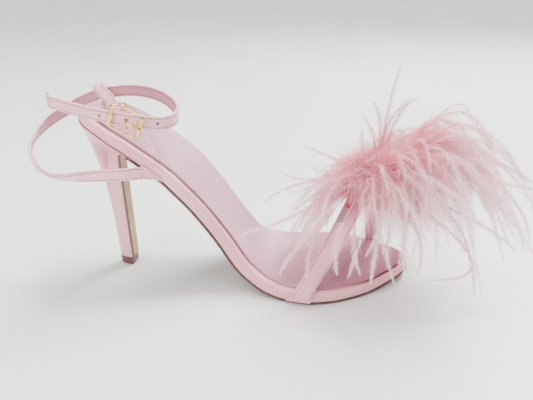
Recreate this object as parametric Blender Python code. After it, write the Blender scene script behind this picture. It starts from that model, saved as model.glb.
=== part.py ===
"""High heel sandal for the right foot: a wrapped stiletto heel, a thin board wrapped round its
edge, a sock lining, an outsole with a covered breast, one toe strap, two ankle straps with a
buckle, and a tuft of long feathers on the toe strap.

The shoe stands on the floor plane Z = 0 with the toe at +X and the outer (lateral) side at -Y.
The origin is the middle of the top piece's underside, below the stiletto heel.
"""

import math
from collections import namedtuple

import bmesh
import bpy
import numpy as np
from mathutils import Vector

MM = 0.001

# Last and sole
SHOE_LENGTH = 197.0 * MM
HEEL_OVERHANG = 14.8 * MM
BALL_WIDTH = 74.7 * MM
SEAT_WIDTH = 50.0 * MM
SEAT_RISE = 98.5 * MM
TOE_SPRING = 4.6 * MM
TOE_SWING = 3.8 * MM
WAIST_SWING = 3.7 * MM
BOARD_EDGE = 7.2 * MM
DISH_DEPTH = 1.1 * MM
SOCK_THICK = 1.2 * MM
SOCK_INSET = 3.6 * MM
OUTSOLE_THICK = 1.4 * MM
OUTSOLE_INSET = 0.3 * MM
GAP = 0.3 * MM

# Heel
TIP_LENGTH = 9.6 * MM
TIP_WIDTH = 9.4 * MM
TIP_GROWTH = 0.18
TOP_PIECE_THICK = 5.5 * MM
TOP_PIECE_BEVEL = 0.5 * MM
TOP_PIECE_SPREAD = 1.03
BREAST_SHARE = 0.19
BREAST_FLAP_THICK = 0.8 * MM
BREAST_FLAP_TRIM = 0.96
FLARE_BACK = 3.0
FLARE_FRONT = 45.0

# Straps
TOE_STRAP_WIDTH = 10.8 * MM
TOE_STRAP_THICK = 1.3 * MM
ANKLE_STRAP_WIDTH = 7.0 * MM
ANKLE_STRAP_THICK = 1.8 * MM
BUCKLE_STRAP_THICK = 1.4 * MM
STRAP_TUCK = 11.0 * MM
STRAP_BEND = 1.1 * MM
RECESS_SPARE = 1.5 * MM
RECESS_MOUTH = 4.0 * MM
RISE_START = -0.44 * MM
DROP_START = 0.33 * MM
TIP_TAPER = 1.6 * MM
LOOP_RUN = 4.0 * MM
LOOP_RETURN = 3.0 * MM

# Buckle
BUCKLE_LENGTH = 16.0 * MM
BUCKLE_WIDTH = 14.0 * MM
BAR_OFFSET = -1.7 * MM
HOLE_SPACING = 15.5 * MM
BUCKLE_CORNER = 2.0 * MM
BUCKLE_WIRE = 0.9 * MM
BUCKLE_BAR = 0.8 * MM
PRONG_WIRE = 0.6 * MM
HOLE_RADIUS = 1.2 * MM
SPARE_HOLE_RADIUS = 0.8 * MM

# Feathers
CORE_LENGTH = 40.0 * MM
CORE_WIDTH = 30.0 * MM
CORE_HEIGHT = 24.0 * MM
CORE_AHEAD = 5.0 * MM
CORE_OUTWARD = 2.0 * MM
LOCK_REACH = 52.0 * MM
LOCK_REACH_TOE = 36.0 * MM
LOCK_REACH_HEEL = 24.0 * MM
LOCK_REACH_UP = 10.0 * MM
LOCK_LEAN = 0.32
LOCK_RISE = 0.12
LOCK_DROOP = 4.6
LOCK_CLEARANCE = 5.0 * MM
LOCK_STEPS = 7

# Underside of the board along its length: share of the length from the heel, rise as a share of
# SEAT_RISE, spring as a share of TOE_SPRING, half widths as shares of the local width, and the
# edge's thickness as a share of BOARD_EDGE
Station = namedtuple("Station", "share rise spring lateral medial edge")
LAST = [
    Station(0.00, 1.000, 0.0, 0.000, 0.000, 0.86),
    Station(0.06, 0.968, 0.0, 0.380, 0.400, 0.88),
    Station(0.14, 0.888, 0.0, 0.500, 0.485, 0.92),
    Station(0.20, 0.803, 0.0, 0.510, 0.485, 0.96),
    Station(0.28, 0.675, 0.0, 0.510, 0.480, 1.00),
    Station(0.35, 0.508, 0.0, 0.440, 0.400, 1.05),
    Station(0.42, 0.302, 0.0, 0.390, 0.345, 1.08),
    Station(0.49, 0.108, 0.0, 0.402, 0.360, 1.08),
    Station(0.56, 0.026, 0.0, 0.435, 0.419, 1.05),
    Station(0.63, 0.000, 0.0, 0.480, 0.468, 0.98),
    Station(0.70, 0.000, 0.0, 0.502, 0.494, 0.92),
    Station(0.76, 0.000, 0.0, 0.478, 0.500, 0.87),
    Station(0.82, 0.000, 0.0, 0.417, 0.478, 0.82),
    Station(0.87, 0.000, 0.05, 0.350, 0.420, 0.77),
    Station(0.93, 0.000, 0.42, 0.240, 0.290, 0.72),
    Station(1.00, 0.000, 1.0, 0.000, 0.000, 0.67),
]

# Free runs of the straps. Places are shares of SHOE_LENGTH from the heel's back, of BALL_WIDTH
# and of SEAT_RISE. The last three columns are the direction of the strap's own upper edge.
Fold = namedtuple("Fold", "along across up edge_x edge_y edge_z")
TOE_STRAP_RUN = [
    Fold(0.695, -0.484, 0.140, 0.80, 0.20, -0.55),
    Fold(0.714, -0.438, 0.205, 0.83, 0.20, -0.52),
    Fold(0.741, -0.360, 0.278, 0.88, 0.12, -0.42),
    Fold(0.771, -0.255, 0.362, 0.92, 0.00, -0.34),
    Fold(0.801, -0.125, 0.450, 0.94, -0.15, -0.24),
    Fold(0.826, 0.035, 0.502, 0.94, -0.28, -0.10),
    Fold(0.850, 0.185, 0.490, 0.93, -0.35, 0.05),
    Fold(0.872, 0.310, 0.420, 0.95, -0.28, 0.08),
    Fold(0.888, 0.395, 0.315, 0.98, -0.18, 0.08),
    Fold(0.897, 0.440, 0.210, 0.99, -0.15, 0.03),
]
ANKLE_STRAP_RUN = [
    Fold(0.182, -0.415, 0.756, 0.00, 0.00, 1.00),
    Fold(0.120, -0.413, 0.745, 0.02, -0.08, 1.00),
    Fold(0.053, -0.375, 0.720, 0.12, -0.32, 0.94),
    Fold(-0.018, -0.321, 0.692, 0.38, -0.68, 0.62),
    Fold(-0.090, -0.254, 0.684, 0.50, -0.78, 0.38),
    Fold(-0.141, -0.174, 0.713, 0.55, -0.78, 0.20),
    Fold(-0.172, -0.094, 0.782, 0.52, -0.80, 0.22),
    Fold(-0.174, -0.007, 0.835, 0.42, -0.82, 0.36),
    Fold(-0.163, 0.080, 0.882, 0.10, -0.72, 0.66),
    Fold(-0.143, 0.161, 0.926, -0.18, -0.45, 0.87),
    Fold(-0.114, 0.235, 0.962, -0.20, -0.25, 0.94),
    Fold(-0.070, 0.321, 1.010, -0.12, -0.05, 0.99),
    Fold(-0.005, 0.375, 1.057, -0.03, 0.05, 1.00),
    Fold(0.086, 0.348, 1.087, 0.05, 0.10, 1.00),
    Fold(0.173, 0.228, 1.102, 0.10, 0.08, 1.00),
    Fold(0.236, 0.107, 1.098, 0.14, 0.04, 1.00),
    Fold(0.283, -0.013, 1.080, 0.16, 0.00, 1.00),
    Fold(0.312, -0.134, 1.060, 0.12, -0.04, 1.00),
    Fold(0.320, -0.255, 1.046, 0.06, -0.08, 1.00),
    Fold(0.301, -0.365, 1.044, 0.00, -0.12, 1.00),
    Fold(0.263, -0.425, 1.058, 0.00, -0.12, 1.00),
    Fold(0.224, -0.442, 1.071, 0.00, -0.12, 1.00),
    Fold(0.178, -0.430, 1.080, 0.00, -0.10, 1.00),
    Fold(0.130, -0.402, 1.088, 0.00, -0.08, 1.00),
    Fold(0.050, -0.348, 1.107, 0.00, -0.06, 1.00),
    Fold(-0.029, -0.295, 1.134, 0.02, -0.05, 1.00),
]
BUCKLE_PLACE = 0.846
BUCKLE_STRAP_RUN = [
    Fold(0.190, 0.408, 0.762, 0.00, 0.05, 1.00),
    Fold(0.130, 0.425, 0.785, 0.10, 0.08, 1.00),
    Fold(0.070, 0.435, 0.855, 0.30, 0.15, 0.94),
    Fold(0.022, 0.432, 0.960, 0.62, 0.28, 0.60),
    Fold(-0.002, 0.442, 1.045, 0.93, 0.22, 0.28),
    Fold(-0.008, 0.388, 1.126, 0.93, 0.25, 0.25),
    Fold(0.002, 0.330, 1.114, 0.90, 0.35, 0.25),
    Fold(0.034, 0.240, 1.088, 0.78, 0.54, 0.30),
    Fold(0.076, 0.094, 1.076, 0.72, 0.52, 0.42),
    Fold(0.108, -0.045, 1.066, 0.68, 0.48, 0.54),
    Fold(0.132, -0.170, 1.074, 0.58, 0.38, 0.72),
    Fold(0.158, -0.280, 1.076, 0.30, 0.20, 0.92),
]


def material(name, color, roughness, metallic=0.0):
    """A plain Principled finish."""
    finish = bpy.data.materials.new(name)
    finish.use_nodes = True
    shader = finish.node_tree.nodes["Principled BSDF"]
    shader.inputs["Base Color"].default_value = (*color, 1.0)
    shader.inputs["Roughness"].default_value = roughness
    shader.inputs["Metallic"].default_value = metallic
    return finish


def column(name, share):
    """One column of the LAST table between its rows, without overshoot."""
    places = np.array([row.share for row in LAST])
    values = np.array([getattr(row, name) for row in LAST])
    if name in ("lateral", "medial"):
        values = values ** 2
    steps = np.diff(places)
    slopes = np.diff(values) / steps
    same = slopes[:-1] * slopes[1:] > 0.0
    safe = np.where(same, slopes[:-1] + slopes[1:], 1.0)
    inner = np.where(same, 2.0 * slopes[:-1] * slopes[1:] / safe, 0.0)
    tangents = np.concatenate([slopes[:1], inner, slopes[-1:]])
    share = np.clip(share, 0.0, 1.0)
    row = np.clip(np.searchsorted(places, share, side="right") - 1, 0, len(steps) - 1)
    t = (share - places[row]) / steps[row]
    value = (
        values[row] * (1.0 + 2.0 * t) * (1.0 - t) ** 2
        + tangents[row] * steps[row] * t * (1.0 - t) ** 2
        + values[row + 1] * (3.0 - 2.0 * t) * t ** 2
        + tangents[row + 1] * steps[row] * (t - 1.0) * t ** 2
    )
    if name in ("lateral", "medial"):
        value = np.sqrt(np.maximum(value, 0.0))
    return value


# The underside's height along the length, softened a little where the table bends
GRID_SHARE = np.linspace(-0.08, 1.08, 581)
SOFTEN = np.hanning(25)


def underside_heights():
    """Height of the board's underside at each place of GRID_SHARE."""
    rise = SEAT_RISE * column("rise", GRID_SHARE) + TOE_SPRING * column("spring", GRID_SHARE)
    back_slope = (rise[60] - rise[45]) / (GRID_SHARE[60] - GRID_SHARE[45])
    toe_slope = (rise[-45] - rise[-60]) / (GRID_SHARE[-45] - GRID_SHARE[-60])
    rise = rise + back_slope * np.minimum(GRID_SHARE, 0.0)
    rise = rise + toe_slope * np.maximum(GRID_SHARE - 1.0, 0.0)
    half = len(SOFTEN) // 2
    padded = np.concatenate([np.full(half, rise[0]), rise, np.full(half, rise[-1])])
    soft = np.convolve(padded, SOFTEN / SOFTEN.sum(), mode="valid")
    return soft + OUTSOLE_THICK + GAP


GRID_HEIGHT = underside_heights()
GRID_SLOPE = np.gradient(GRID_HEIGHT, GRID_SHARE * SHOE_LENGTH)


def share_at(x):
    """Share of the shoe's length at a place along X."""
    return (x + HEEL_OVERHANG) / SHOE_LENGTH


def centre(share):
    """Y of the shoe's curved centre line."""
    toe = np.clip((share - 0.6) / 0.4, 0.0, 1.0)
    return WAIST_SWING * share + TOE_SWING * toe ** 2


def half_width(share, lateral):
    """Half width of the board on its outer or inner side."""
    mix = np.clip((share - 0.28) / (0.56 - 0.28), 0.0, 1.0)
    width = SEAT_WIDTH + (BALL_WIDTH - SEAT_WIDTH) * mix
    return width * np.where(lateral, column("lateral", share), column("medial", share))


def plan(share, across):
    """Plan point (x, y) at a share of the length and -1 to 1 across."""
    half = half_width(share, across < 0.0)
    return np.stack([share * SHOE_LENGTH - HEEL_OVERHANG, centre(share) + half * across], -1)


def on_last(xy, lift):
    """Point above the board's underside, by a height measured square to its curve."""
    share = share_at(xy[..., 0])
    slope = np.interp(share, GRID_SHARE, GRID_SLOPE)
    height = np.interp(share, GRID_SHARE, GRID_HEIGHT)
    size = np.sqrt(1.0 + slope ** 2)
    return np.stack(
        [xy[..., 0] - slope / size * lift, xy[..., 1] + 0.0 * lift, height + lift / size], -1
    )


def board_lift(xy):
    """Height of the board's dished top above its underside."""
    share = share_at(xy[..., 0])
    offset = xy[..., 1] - centre(share)
    across = offset / np.maximum(half_width(share, offset < 0.0), 1.0 * MM)
    ends = np.clip(np.minimum(share, 1.0 - share) / 0.09, 0.0, 1.0)
    dish = DISH_DEPTH * np.clip(1.0 - across ** 2, 0.0, 1.0) * ends * (2.0 - ends)
    return BOARD_EDGE * column("edge", share) - dish


def inset(ring, distance):
    """A plan ring moved inwards by a distance."""
    along = np.roll(ring, -1, 0) - np.roll(ring, 1, 0)
    along = along / np.linalg.norm(along, axis=1, keepdims=True)
    outward = np.stack([along[:, 1], -along[:, 0]], 1)
    return ring - outward * distance


def toward_spine(ring, fraction, heel_margin):
    """A plan ring drawn in towards the shoe's centre line, 1 at the ring and 0 at the line.

    heel_margin is how far the line stays from the ring's back end.
    """
    low, high = ring[:, 0].min(), ring[:, 0].max()
    spine_x = np.clip(ring[:, 0], low + heel_margin, high - TOE_MARGIN)
    spine = np.stack([spine_x, centre(share_at(spine_x))], 1)
    return spine + (ring - spine) * fraction


OUTLINE_COUNT = 72
EDGE_COUNT = 8
ROUND_MARGIN = 0.42 * SEAT_WIDTH
TOE_MARGIN = 0.42 * SEAT_WIDTH
BREAST_MARGIN = 6.0 * MM
RING_FRACTIONS = (0.35, 0.7)


def outline_shares(count):
    """Places along the shoe of one side of an outline, closer together at both ends."""
    angle = (np.arange(count // 2) + 0.5) / (count // 2) * math.pi
    return 0.5 - 0.5 * np.cos(angle)


def full_outline(count):
    """Board outline as a plan ring. It starts beside the heel's middle, outer side first."""
    share = outline_shares(count)
    lateral = plan(share, -np.ones_like(share))
    medial = plan(share[::-1], np.ones_like(share))
    return np.concatenate([lateral, medial])


def front_outline(first):
    """Board outline ahead of a straight edge across the shoe, with the edge's half count."""
    share = outline_shares(OUTLINE_COUNT)
    share = share[share > first + 0.01]
    edge = (np.arange(EDGE_COUNT // 2) + 0.5) / (EDGE_COUNT // 2)
    across = np.concatenate([edge, np.ones(len(share) + 1)])
    share = np.concatenate([np.full(EDGE_COUNT // 2 + 1, first), share])
    lateral = plan(share, -across)
    medial = plan(share[::-1], across[::-1])
    return np.concatenate([lateral, medial]), EDGE_COUNT // 2


def seat_outline(last, count, edge_count):
    """Board outline behind a straight edge across the shoe, starting at that edge's middle."""
    edge = (np.arange(edge_count // 2) + 0.5) / (edge_count // 2)
    turn = (np.arange(count // 2) + 1.0) / (count // 2 + 0.5)
    share = last * 0.5 * (1.0 + np.cos(turn * math.pi))
    share = np.concatenate([np.full(edge_count // 2, last), share])
    across = np.concatenate([edge, np.ones(count // 2)])
    lateral = plan(share, -across)
    medial = plan(share[::-1], across[::-1])
    return np.concatenate([lateral, medial])


def shell(name, rings, finish, collection, lead=0):
    """A closed solid skinned over rings of equal size.

    Both end rings are closed by strips from side to side. lead counts the points on each side
    of a ring's start that lie on one straight edge.
    """
    rings = [np.asarray(ring, float) for ring in rings]
    size = len(rings[0])
    mesh = bmesh.new()
    rows = [[mesh.verts.new(point) for point in ring] for ring in rings]
    for near, far in zip(rows[:-1], rows[1:]):
        for k in range(size):
            after = (k + 1) % size
            mesh.faces.new((near[k], near[after], far[after], far[k]))
    for row in (rows[0], rows[-1]):
        if lead:
            mesh.faces.new(row[size - 1 - lead:] + row[:lead + 1])
        for k in range(lead, size // 2 - 1):
            mesh.faces.new((row[k], row[k + 1], row[size - 2 - k], row[size - 1 - k]))
    bmesh.ops.triangulate(mesh, faces=mesh.faces[:])
    bmesh.ops.recalc_face_normals(mesh, faces=mesh.faces[:])
    if mesh.calc_volume(signed=True) < 0.0:
        bmesh.ops.reverse_faces(mesh, faces=mesh.faces[:])
    return place(name, mesh, finish, collection)


def place(name, mesh, finish, collection):
    """Turn a bmesh into a named object with one finish."""
    data = bpy.data.meshes.new(name)
    mesh.to_mesh(data)
    mesh.free()
    data.materials.append(finish)
    data.shade_smooth()
    data.set_sharp_from_angle(angle=math.radians(40.0))
    thing = bpy.data.objects.new(name, data)
    collection.objects.link(thing)
    return thing


def cut(thing, tool, operation="DIFFERENCE"):
    """Boolean one mesh object with another and apply it."""
    step = thing.modifiers.new(operation.lower(), "BOOLEAN")
    step.operation = operation
    step.object = tool
    step.solver = "EXACT"
    bpy.context.view_layer.update()
    evaluated = thing.evaluated_get(bpy.context.evaluated_depsgraph_get())
    done = bpy.data.meshes.new_from_object(evaluated)
    thing.modifiers.clear()
    thing.data = done


def hide_cutter(thing):
    """Mark a solid that only cuts others."""
    thing.hide_render = True
    thing.display_type = "WIRE"


def board_rings(ring, top_lift, bottom_lift, edge, heel_margin):
    """Rings of a plate from its top's middle, out over its rounded edge, to its underside.

    edge rows are (inset, depth below the top, height above the bottom), None where the other
    one places the ring.
    """
    rings = []
    for fraction in RING_FRACTIONS:
        flat = toward_spine(ring, fraction, heel_margin)
        rings.append(on_last(flat, top_lift(flat)))
    for step_in, below_top, above_bottom in edge:
        flat = inset(ring, step_in)
        if above_bottom is None:
            rings.append(on_last(flat, top_lift(flat) - below_top))
        else:
            rings.append(on_last(flat, bottom_lift(flat) + above_bottom))
    for fraction in reversed(RING_FRACTIONS):
        flat = toward_spine(ring, fraction, heel_margin)
        rings.append(on_last(flat, bottom_lift(flat)))
    return rings


def make_board(finish, collection):
    """Wrapped insole board with a dished top and a soft rounded edge."""
    edge = [
        (SOCK_INSET, 0.0, None),
        (1.7 * MM, 0.1 * MM, None),
        (0.5 * MM, 0.7 * MM, None),
        (0.0, 2.0 * MM, None),
        (0.0, None, 1.2 * MM),
        (0.35 * MM, None, 0.35 * MM),
        (1.2 * MM, None, 0.0),
    ]
    rings = board_rings(
        full_outline(OUTLINE_COUNT), board_lift, lambda flat: np.zeros(len(flat)), edge, ROUND_MARGIN
    )
    return shell("insole_board", rings, finish, collection)


def make_sock(finish, collection):
    """Padded sock lining that follows the dished board."""
    edge = [
        (SOCK_INSET + 0.9 * MM, 0.0, None),
        (SOCK_INSET + 0.2 * MM, 0.35 * MM, None),
        (SOCK_INSET, None, 0.0),
    ]
    rings = board_rings(
        full_outline(OUTLINE_COUNT),
        lambda flat: board_lift(flat) + GAP + SOCK_THICK,
        lambda flat: board_lift(flat) + GAP,
        edge,
        ROUND_MARGIN,
    )
    return shell("sock_lining", rings, finish, collection)


def make_outsole(finish, collection):
    """Thin outsole from the heel's breast to the toe, flat on the floor below the ball."""
    ring, lead = front_outline(BREAST_SHARE + GAP * 2.0 / SHOE_LENGTH)
    edge = [
        (OUTSOLE_INSET, 0.0, None),
        (OUTSOLE_INSET, None, 0.4 * MM),
        (OUTSOLE_INSET + 0.5 * MM, None, 0.0),
    ]
    rings = board_rings(
        ring,
        lambda flat: np.full(len(flat), -GAP),
        lambda flat: np.full(len(flat), -GAP - OUTSOLE_THICK),
        edge,
        BREAST_MARGIN,
    )
    return shell("outsole", rings, finish, collection, lead)


HEEL_EDGE_COUNT = 10
HEEL_SIDE_COUNT = 38


def heel_columns():
    """Top and tip places of the heel's upright lines, and how fast each one draws in."""
    ring = inset(seat_outline(BREAST_SHARE, HEEL_SIDE_COUNT, HEEL_EDGE_COUNT), 0.25 * MM)
    top = on_last(ring, np.full(len(ring), -GAP))
    half_edge = HEEL_EDGE_COUNT // 2
    edge = (np.arange(half_edge) + 0.5) / half_edge
    turn = (np.arange(HEEL_SIDE_COUNT // 2) + 1.0) / (HEEL_SIDE_COUNT + 1.0) * math.pi
    x = np.concatenate([np.zeros(half_edge), -np.sin(turn)]) * TIP_LENGTH + TIP_LENGTH / 2.0
    y = -np.concatenate([edge, np.cos(turn)]) * TIP_WIDTH / 2.0
    tip = np.concatenate([np.stack([x, y], 1), np.stack([x[::-1], -y[::-1]], 1)])
    reach = (ring[:, 0] - ring[:, 0].min()) / (ring[:, 0].max() - ring[:, 0].min())
    flare = FLARE_BACK + (FLARE_FRONT - FLARE_BACK) * reach ** 3
    return top, tip, flare


def heel_point(top, tip, flare, drop):
    """Place on a heel line, from its top at drop 0 to its tip at drop 1."""
    base = TOP_PIECE_THICK + GAP
    grown = tip * (1.0 + TIP_GROWTH * (1.0 - drop))
    draw = ((1.0 - drop) ** flare)[:, None]
    flat = grown + (top[:, :2] - grown) * draw
    height = top[:, 2] + (base - top[:, 2]) * drop
    return np.concatenate([flat, height[:, None]], 1)


HEEL_DROPS = (0.0, 0.004, 0.010, 0.019, 0.032, 0.052, 0.085, 0.14, 0.22, 0.34, 0.52, 0.75, 1.0)


def make_heel(finish, collection):
    """Wrapped stiletto heel whose seat follows the board."""
    top, tip, flare = heel_columns()
    rings = [heel_point(top, tip, flare, drop) for drop in HEEL_DROPS]
    return shell("heel", rings, finish, collection, HEEL_EDGE_COUNT // 2)


def make_breast_flap(finish, collection):
    """Thin cover on the heel's front face and on the underside of its wing."""
    top, tip, flare = heel_columns()
    half = HEEL_EDGE_COUNT // 2
    picked = np.r_[np.arange(half)[::-1], len(top) - 1 - np.arange(half)]
    rows = []
    drops = HEEL_DROPS[1:-1] + (0.995,)
    for drop in drops:
        line = heel_point(top[picked], tip[picked], flare[picked], drop)
        middle = line.mean(0)
        rows.append(middle + (line - middle) * np.array([1.0, BREAST_FLAP_TRIM, 1.0]))
    rows = np.array(rows)
    down = np.gradient(rows, axis=0)
    side = np.gradient(rows, axis=1)
    out = np.cross(side, down)
    out = out / np.linalg.norm(out, axis=2, keepdims=True)
    out = out * np.sign(out[-1, half, 0])
    rings = []
    for row, away in zip(rows, out):
        outer = row + away * (GAP + BREAST_FLAP_THICK)
        inner = row + away * GAP
        rings.append(np.concatenate([outer, inner[::-1]]))
    return shell("heel_breast", rings, finish, collection)


def make_top_piece(finish, collection):
    """Hard top piece under the stiletto."""
    outline = heel_columns()[1] * TOP_PIECE_SPREAD
    small = outline * (1.0 - 2.0 * TOP_PIECE_BEVEL / TIP_LENGTH)
    rings = []
    for flat, height in (
        (small, TOP_PIECE_THICK),
        (outline, TOP_PIECE_THICK - TOP_PIECE_BEVEL),
        (outline, TOP_PIECE_BEVEL),
        (small, 0.0),
    ):
        rings.append(np.concatenate([flat, np.full((len(flat), 1), height)], 1))
    return shell("top_piece", rings, finish, collection, HEEL_EDGE_COUNT // 2)


def square_to(edges, along):
    """Unit edge directions turned square to the directions along."""
    along = along / np.linalg.norm(along, axis=1, keepdims=True)
    edges = edges - along * np.sum(edges * along, 1, keepdims=True)
    return edges / np.linalg.norm(edges, axis=1, keepdims=True)


def fold_points(run):
    """Places and edge directions of a run of folds."""
    places = np.array(
        [
            (
                row.along * SHOE_LENGTH - HEEL_OVERHANG,
                row.across * BALL_WIDTH,
                row.up * SEAT_RISE + OUTSOLE_THICK + GAP,
            )
            for row in run
        ]
    )
    edges = np.array([(row.edge_x, row.edge_y, row.edge_z) for row in run])
    return places, square_to(edges, np.gradient(places, axis=0))


def edge_frame(share, lateral):
    """Place on the board's lower rim, with the directions to the toe, outward and up."""
    side = -1.0 if lateral else 1.0
    step = 0.004
    shares = np.array([share - step, share, share + step])
    points = on_last(plan(shares, np.full(3, side)), np.zeros(3))
    toward_toe = points[2] - points[0]
    toward_toe = toward_toe / np.linalg.norm(toward_toe)
    slope = np.interp(share, GRID_SHARE, GRID_SLOPE)
    up = np.array([-slope, 0.0, 1.0])
    up = up - toward_toe * np.dot(up, toward_toe)
    up = up / np.linalg.norm(up)
    outward = np.cross(toward_toe, up) * (1.0 if lateral else -1.0)
    return points[1], toward_toe, outward, up


def tuck_start(turn):
    """How far outside the rim a strap starts to bend: over the board, or past the outsole."""
    return GAP + (RISE_START if turn > 0 else DROP_START)


def held_row(share, lateral, lean, width, turn, depth, lift):
    """Place and edge direction of a tucked strap at a depth from the rim, bent with the board."""
    origin, toward_toe, outward, _ = edge_frame(share, lateral)
    start = tuck_start(turn)
    middle = origin + toward_toe * depth / math.tan(lean) + outward * (start + depth)
    side = toward_toe * width / 2.0 / math.sin(lean)
    ends = on_last(np.array([middle + side, middle - side])[:, :2], lift)
    edge = turn * (ends[0] - ends[1])
    return ends.mean(0), edge / np.linalg.norm(edge)


def tuck(share, lateral, lean, width, thick, turn):
    """Strap end held between board and outsole, from its hidden end outwards.

    lean is the angle between strap and rim, measured from the toe. turn is 1 where the strap
    rises over the board's edge and -1 where it drops past the outsole's edge. Its edges stay
    parallel to the rim, so that it folds on a straight line.
    """
    origin, toward_toe, outward, up = edge_frame(share, lateral)
    start = tuck_start(turn)
    quarter = STRAP_BEND * math.pi / 2.0
    inward = -STRAP_TUCK * math.sin(lean)
    rows = [
        held_row(share, lateral, lean, width, turn, depth, thick / 2.0)
        for depth in (inward, inward * 0.6, inward * 0.3, 0.0)
    ]
    for depth in (quarter * 0.25, quarter * 0.5, quarter * 0.75, quarter, quarter + 1.5 * MM):
        bend = min(depth, quarter) / STRAP_BEND
        out = start + STRAP_BEND * math.sin(bend)
        lift = STRAP_BEND * (1.0 - math.cos(bend)) + max(depth - quarter, 0.0)
        flat = origin + toward_toe * depth / math.tan(lean)
        place_of = flat + outward * out + up * (thick / 2.0 + turn * lift)
        rows.append((place_of, turn * toward_toe))
    return np.array([row[0] for row in rows]), np.array([row[1] for row in rows])


def smooth_path(places, edges, spacing):
    """Evenly spaced points on a soft curve through the places, with their edge directions."""
    gaps = np.linalg.norm(np.diff(places, axis=0), axis=1)
    marks = np.concatenate([[0.0], np.cumsum(np.sqrt(gaps))])
    slopes = np.gradient(places, marks, axis=0)
    fine = np.linspace(0.0, marks[-1], 1600)
    row = np.clip(np.searchsorted(marks, fine, side="right") - 1, 0, len(places) - 2)
    step = marks[row + 1] - marks[row]
    t = ((fine - marks[row]) / step)[:, None]
    step = step[:, None]
    curve = (
        places[row] * (1.0 + 2.0 * t) * (1.0 - t) ** 2
        + slopes[row] * step * t * (1.0 - t) ** 2
        + places[row + 1] * (3.0 - 2.0 * t) * t ** 2
        + slopes[row + 1] * step * (t - 1.0) * t ** 2
    )
    ease = t ** 2 * (3.0 - 2.0 * t)
    facing = edges[row] * (1.0 - ease) + edges[row + 1] * ease
    length = np.concatenate([[0.0], np.cumsum(np.linalg.norm(np.diff(curve, axis=0), axis=1))])
    bend = np.gradient(curve, length, axis=0)
    turning = np.linalg.norm(np.gradient(bend, length, axis=0), axis=1)
    density = 1.0 / spacing + np.minimum(turning, 1.0 / MM) * 0.55
    mileage = np.concatenate([[0.0], np.cumsum(0.5 * (density[1:] + density[:-1]) * np.diff(length))])
    count = int(round(mileage[-1])) + 1
    marks = np.linspace(0.0, mileage[-1], count)
    picked = [np.interp(marks, mileage, curve[:, k]) for k in range(3)]
    faced = [np.interp(marks, mileage, facing[:, k]) for k in range(3)]
    return np.stack(picked, 1), np.stack(faced, 1)


def strap_frames(path, facing):
    """Tangent, edge direction and outward face direction along a strap."""
    tangent = np.gradient(path, axis=0)
    tangent = tangent / np.linalg.norm(tangent, axis=1, keepdims=True)
    edge = facing / np.linalg.norm(facing, axis=1, keepdims=True)
    return tangent, edge, np.cross(tangent, edge)


def strap_rings(path, facing, width, thick, taper=0.0):
    """Four-cornered rings of a strap. taper rounds its last stretch to a tip."""
    tangent, edge, face = strap_frames(path, facing)
    steps = np.linalg.norm(np.diff(path, axis=0), axis=1)
    left = steps.sum() - np.concatenate([[0.0], np.cumsum(steps)])
    narrow = np.ones(len(path))
    if taper > 0.0:
        near_end = np.clip(1.0 - left / taper, 0.0, 1.0)
        narrow = np.sqrt(1.0 - 0.5 * near_end ** 2)
    sine = np.maximum(np.linalg.norm(face, axis=1), 0.5)
    half = edge * (width / 2.0 * narrow / sine)[:, None]
    deep = face / np.linalg.norm(face, axis=1, keepdims=True) * thick / 2.0
    corners = (path + half + deep, path + half - deep, path - half - deep, path - half + deep)
    return list(np.stack(corners, 1))


def tuck_cutter(name, held, width, thick, turn, finish, collection):
    """Recess for a strap's end in the board's underside, bent with the board."""
    share, lateral, lean = held
    rings = []
    for depth in np.linspace(-(STRAP_TUCK + RECESS_SPARE) * math.sin(lean), RECESS_MOUTH, 7):
        half_wide = width / 2.0 + 2.0 * GAP
        corners = []
        for lift in (thick + GAP, -2.0 * MM):
            middle, edge = held_row(share, lateral, lean, width, turn, depth, lift)
            corners.append((middle, edge * half_wide / math.sin(lean)))
        (above, wide_above), (below, wide_below) = corners
        rings.append(
            [above + wide_above, below + wide_below, below - wide_below, above - wide_above]
        )
    box = shell(name, rings, finish, collection)
    hide_cutter(box)
    return box


TOE_TUCK_OUTER = (0.662, True, math.radians(52.0))
TOE_TUCK_INNER = (0.896, False, math.radians(84.0))
ANKLE_TUCK_OUTER = (0.245, True, math.radians(142.0))
ANKLE_TUCK_INNER = (0.245, False, math.radians(140.0))


def toe_strap_path():
    """Toe strap's middle line from the outer rim over the toes to the inner rim."""
    first, first_edges = tuck(*TOE_TUCK_OUTER, TOE_STRAP_WIDTH, TOE_STRAP_THICK, 1)
    last, last_edges = tuck(*TOE_TUCK_INNER, TOE_STRAP_WIDTH, TOE_STRAP_THICK, 1)
    run, run_edges = fold_points(TOE_STRAP_RUN)
    places = np.concatenate([first, run, last[::-1]])
    edges = np.concatenate([first_edges, run_edges, last_edges[::-1]])
    return smooth_path(places, edges, 3.2 * MM)


def ankle_strap_path():
    """Long ankle strap's middle line from the outer arch round the ankle to its tip."""
    first, first_edges = tuck(*ANKLE_TUCK_OUTER, ANKLE_STRAP_WIDTH, ANKLE_STRAP_THICK, -1)
    run, run_edges = fold_points(ANKLE_STRAP_RUN)
    places = np.concatenate([first, run])
    edges = np.concatenate([first_edges, run_edges])
    return smooth_path(places, edges, 3.6 * MM)


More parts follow.
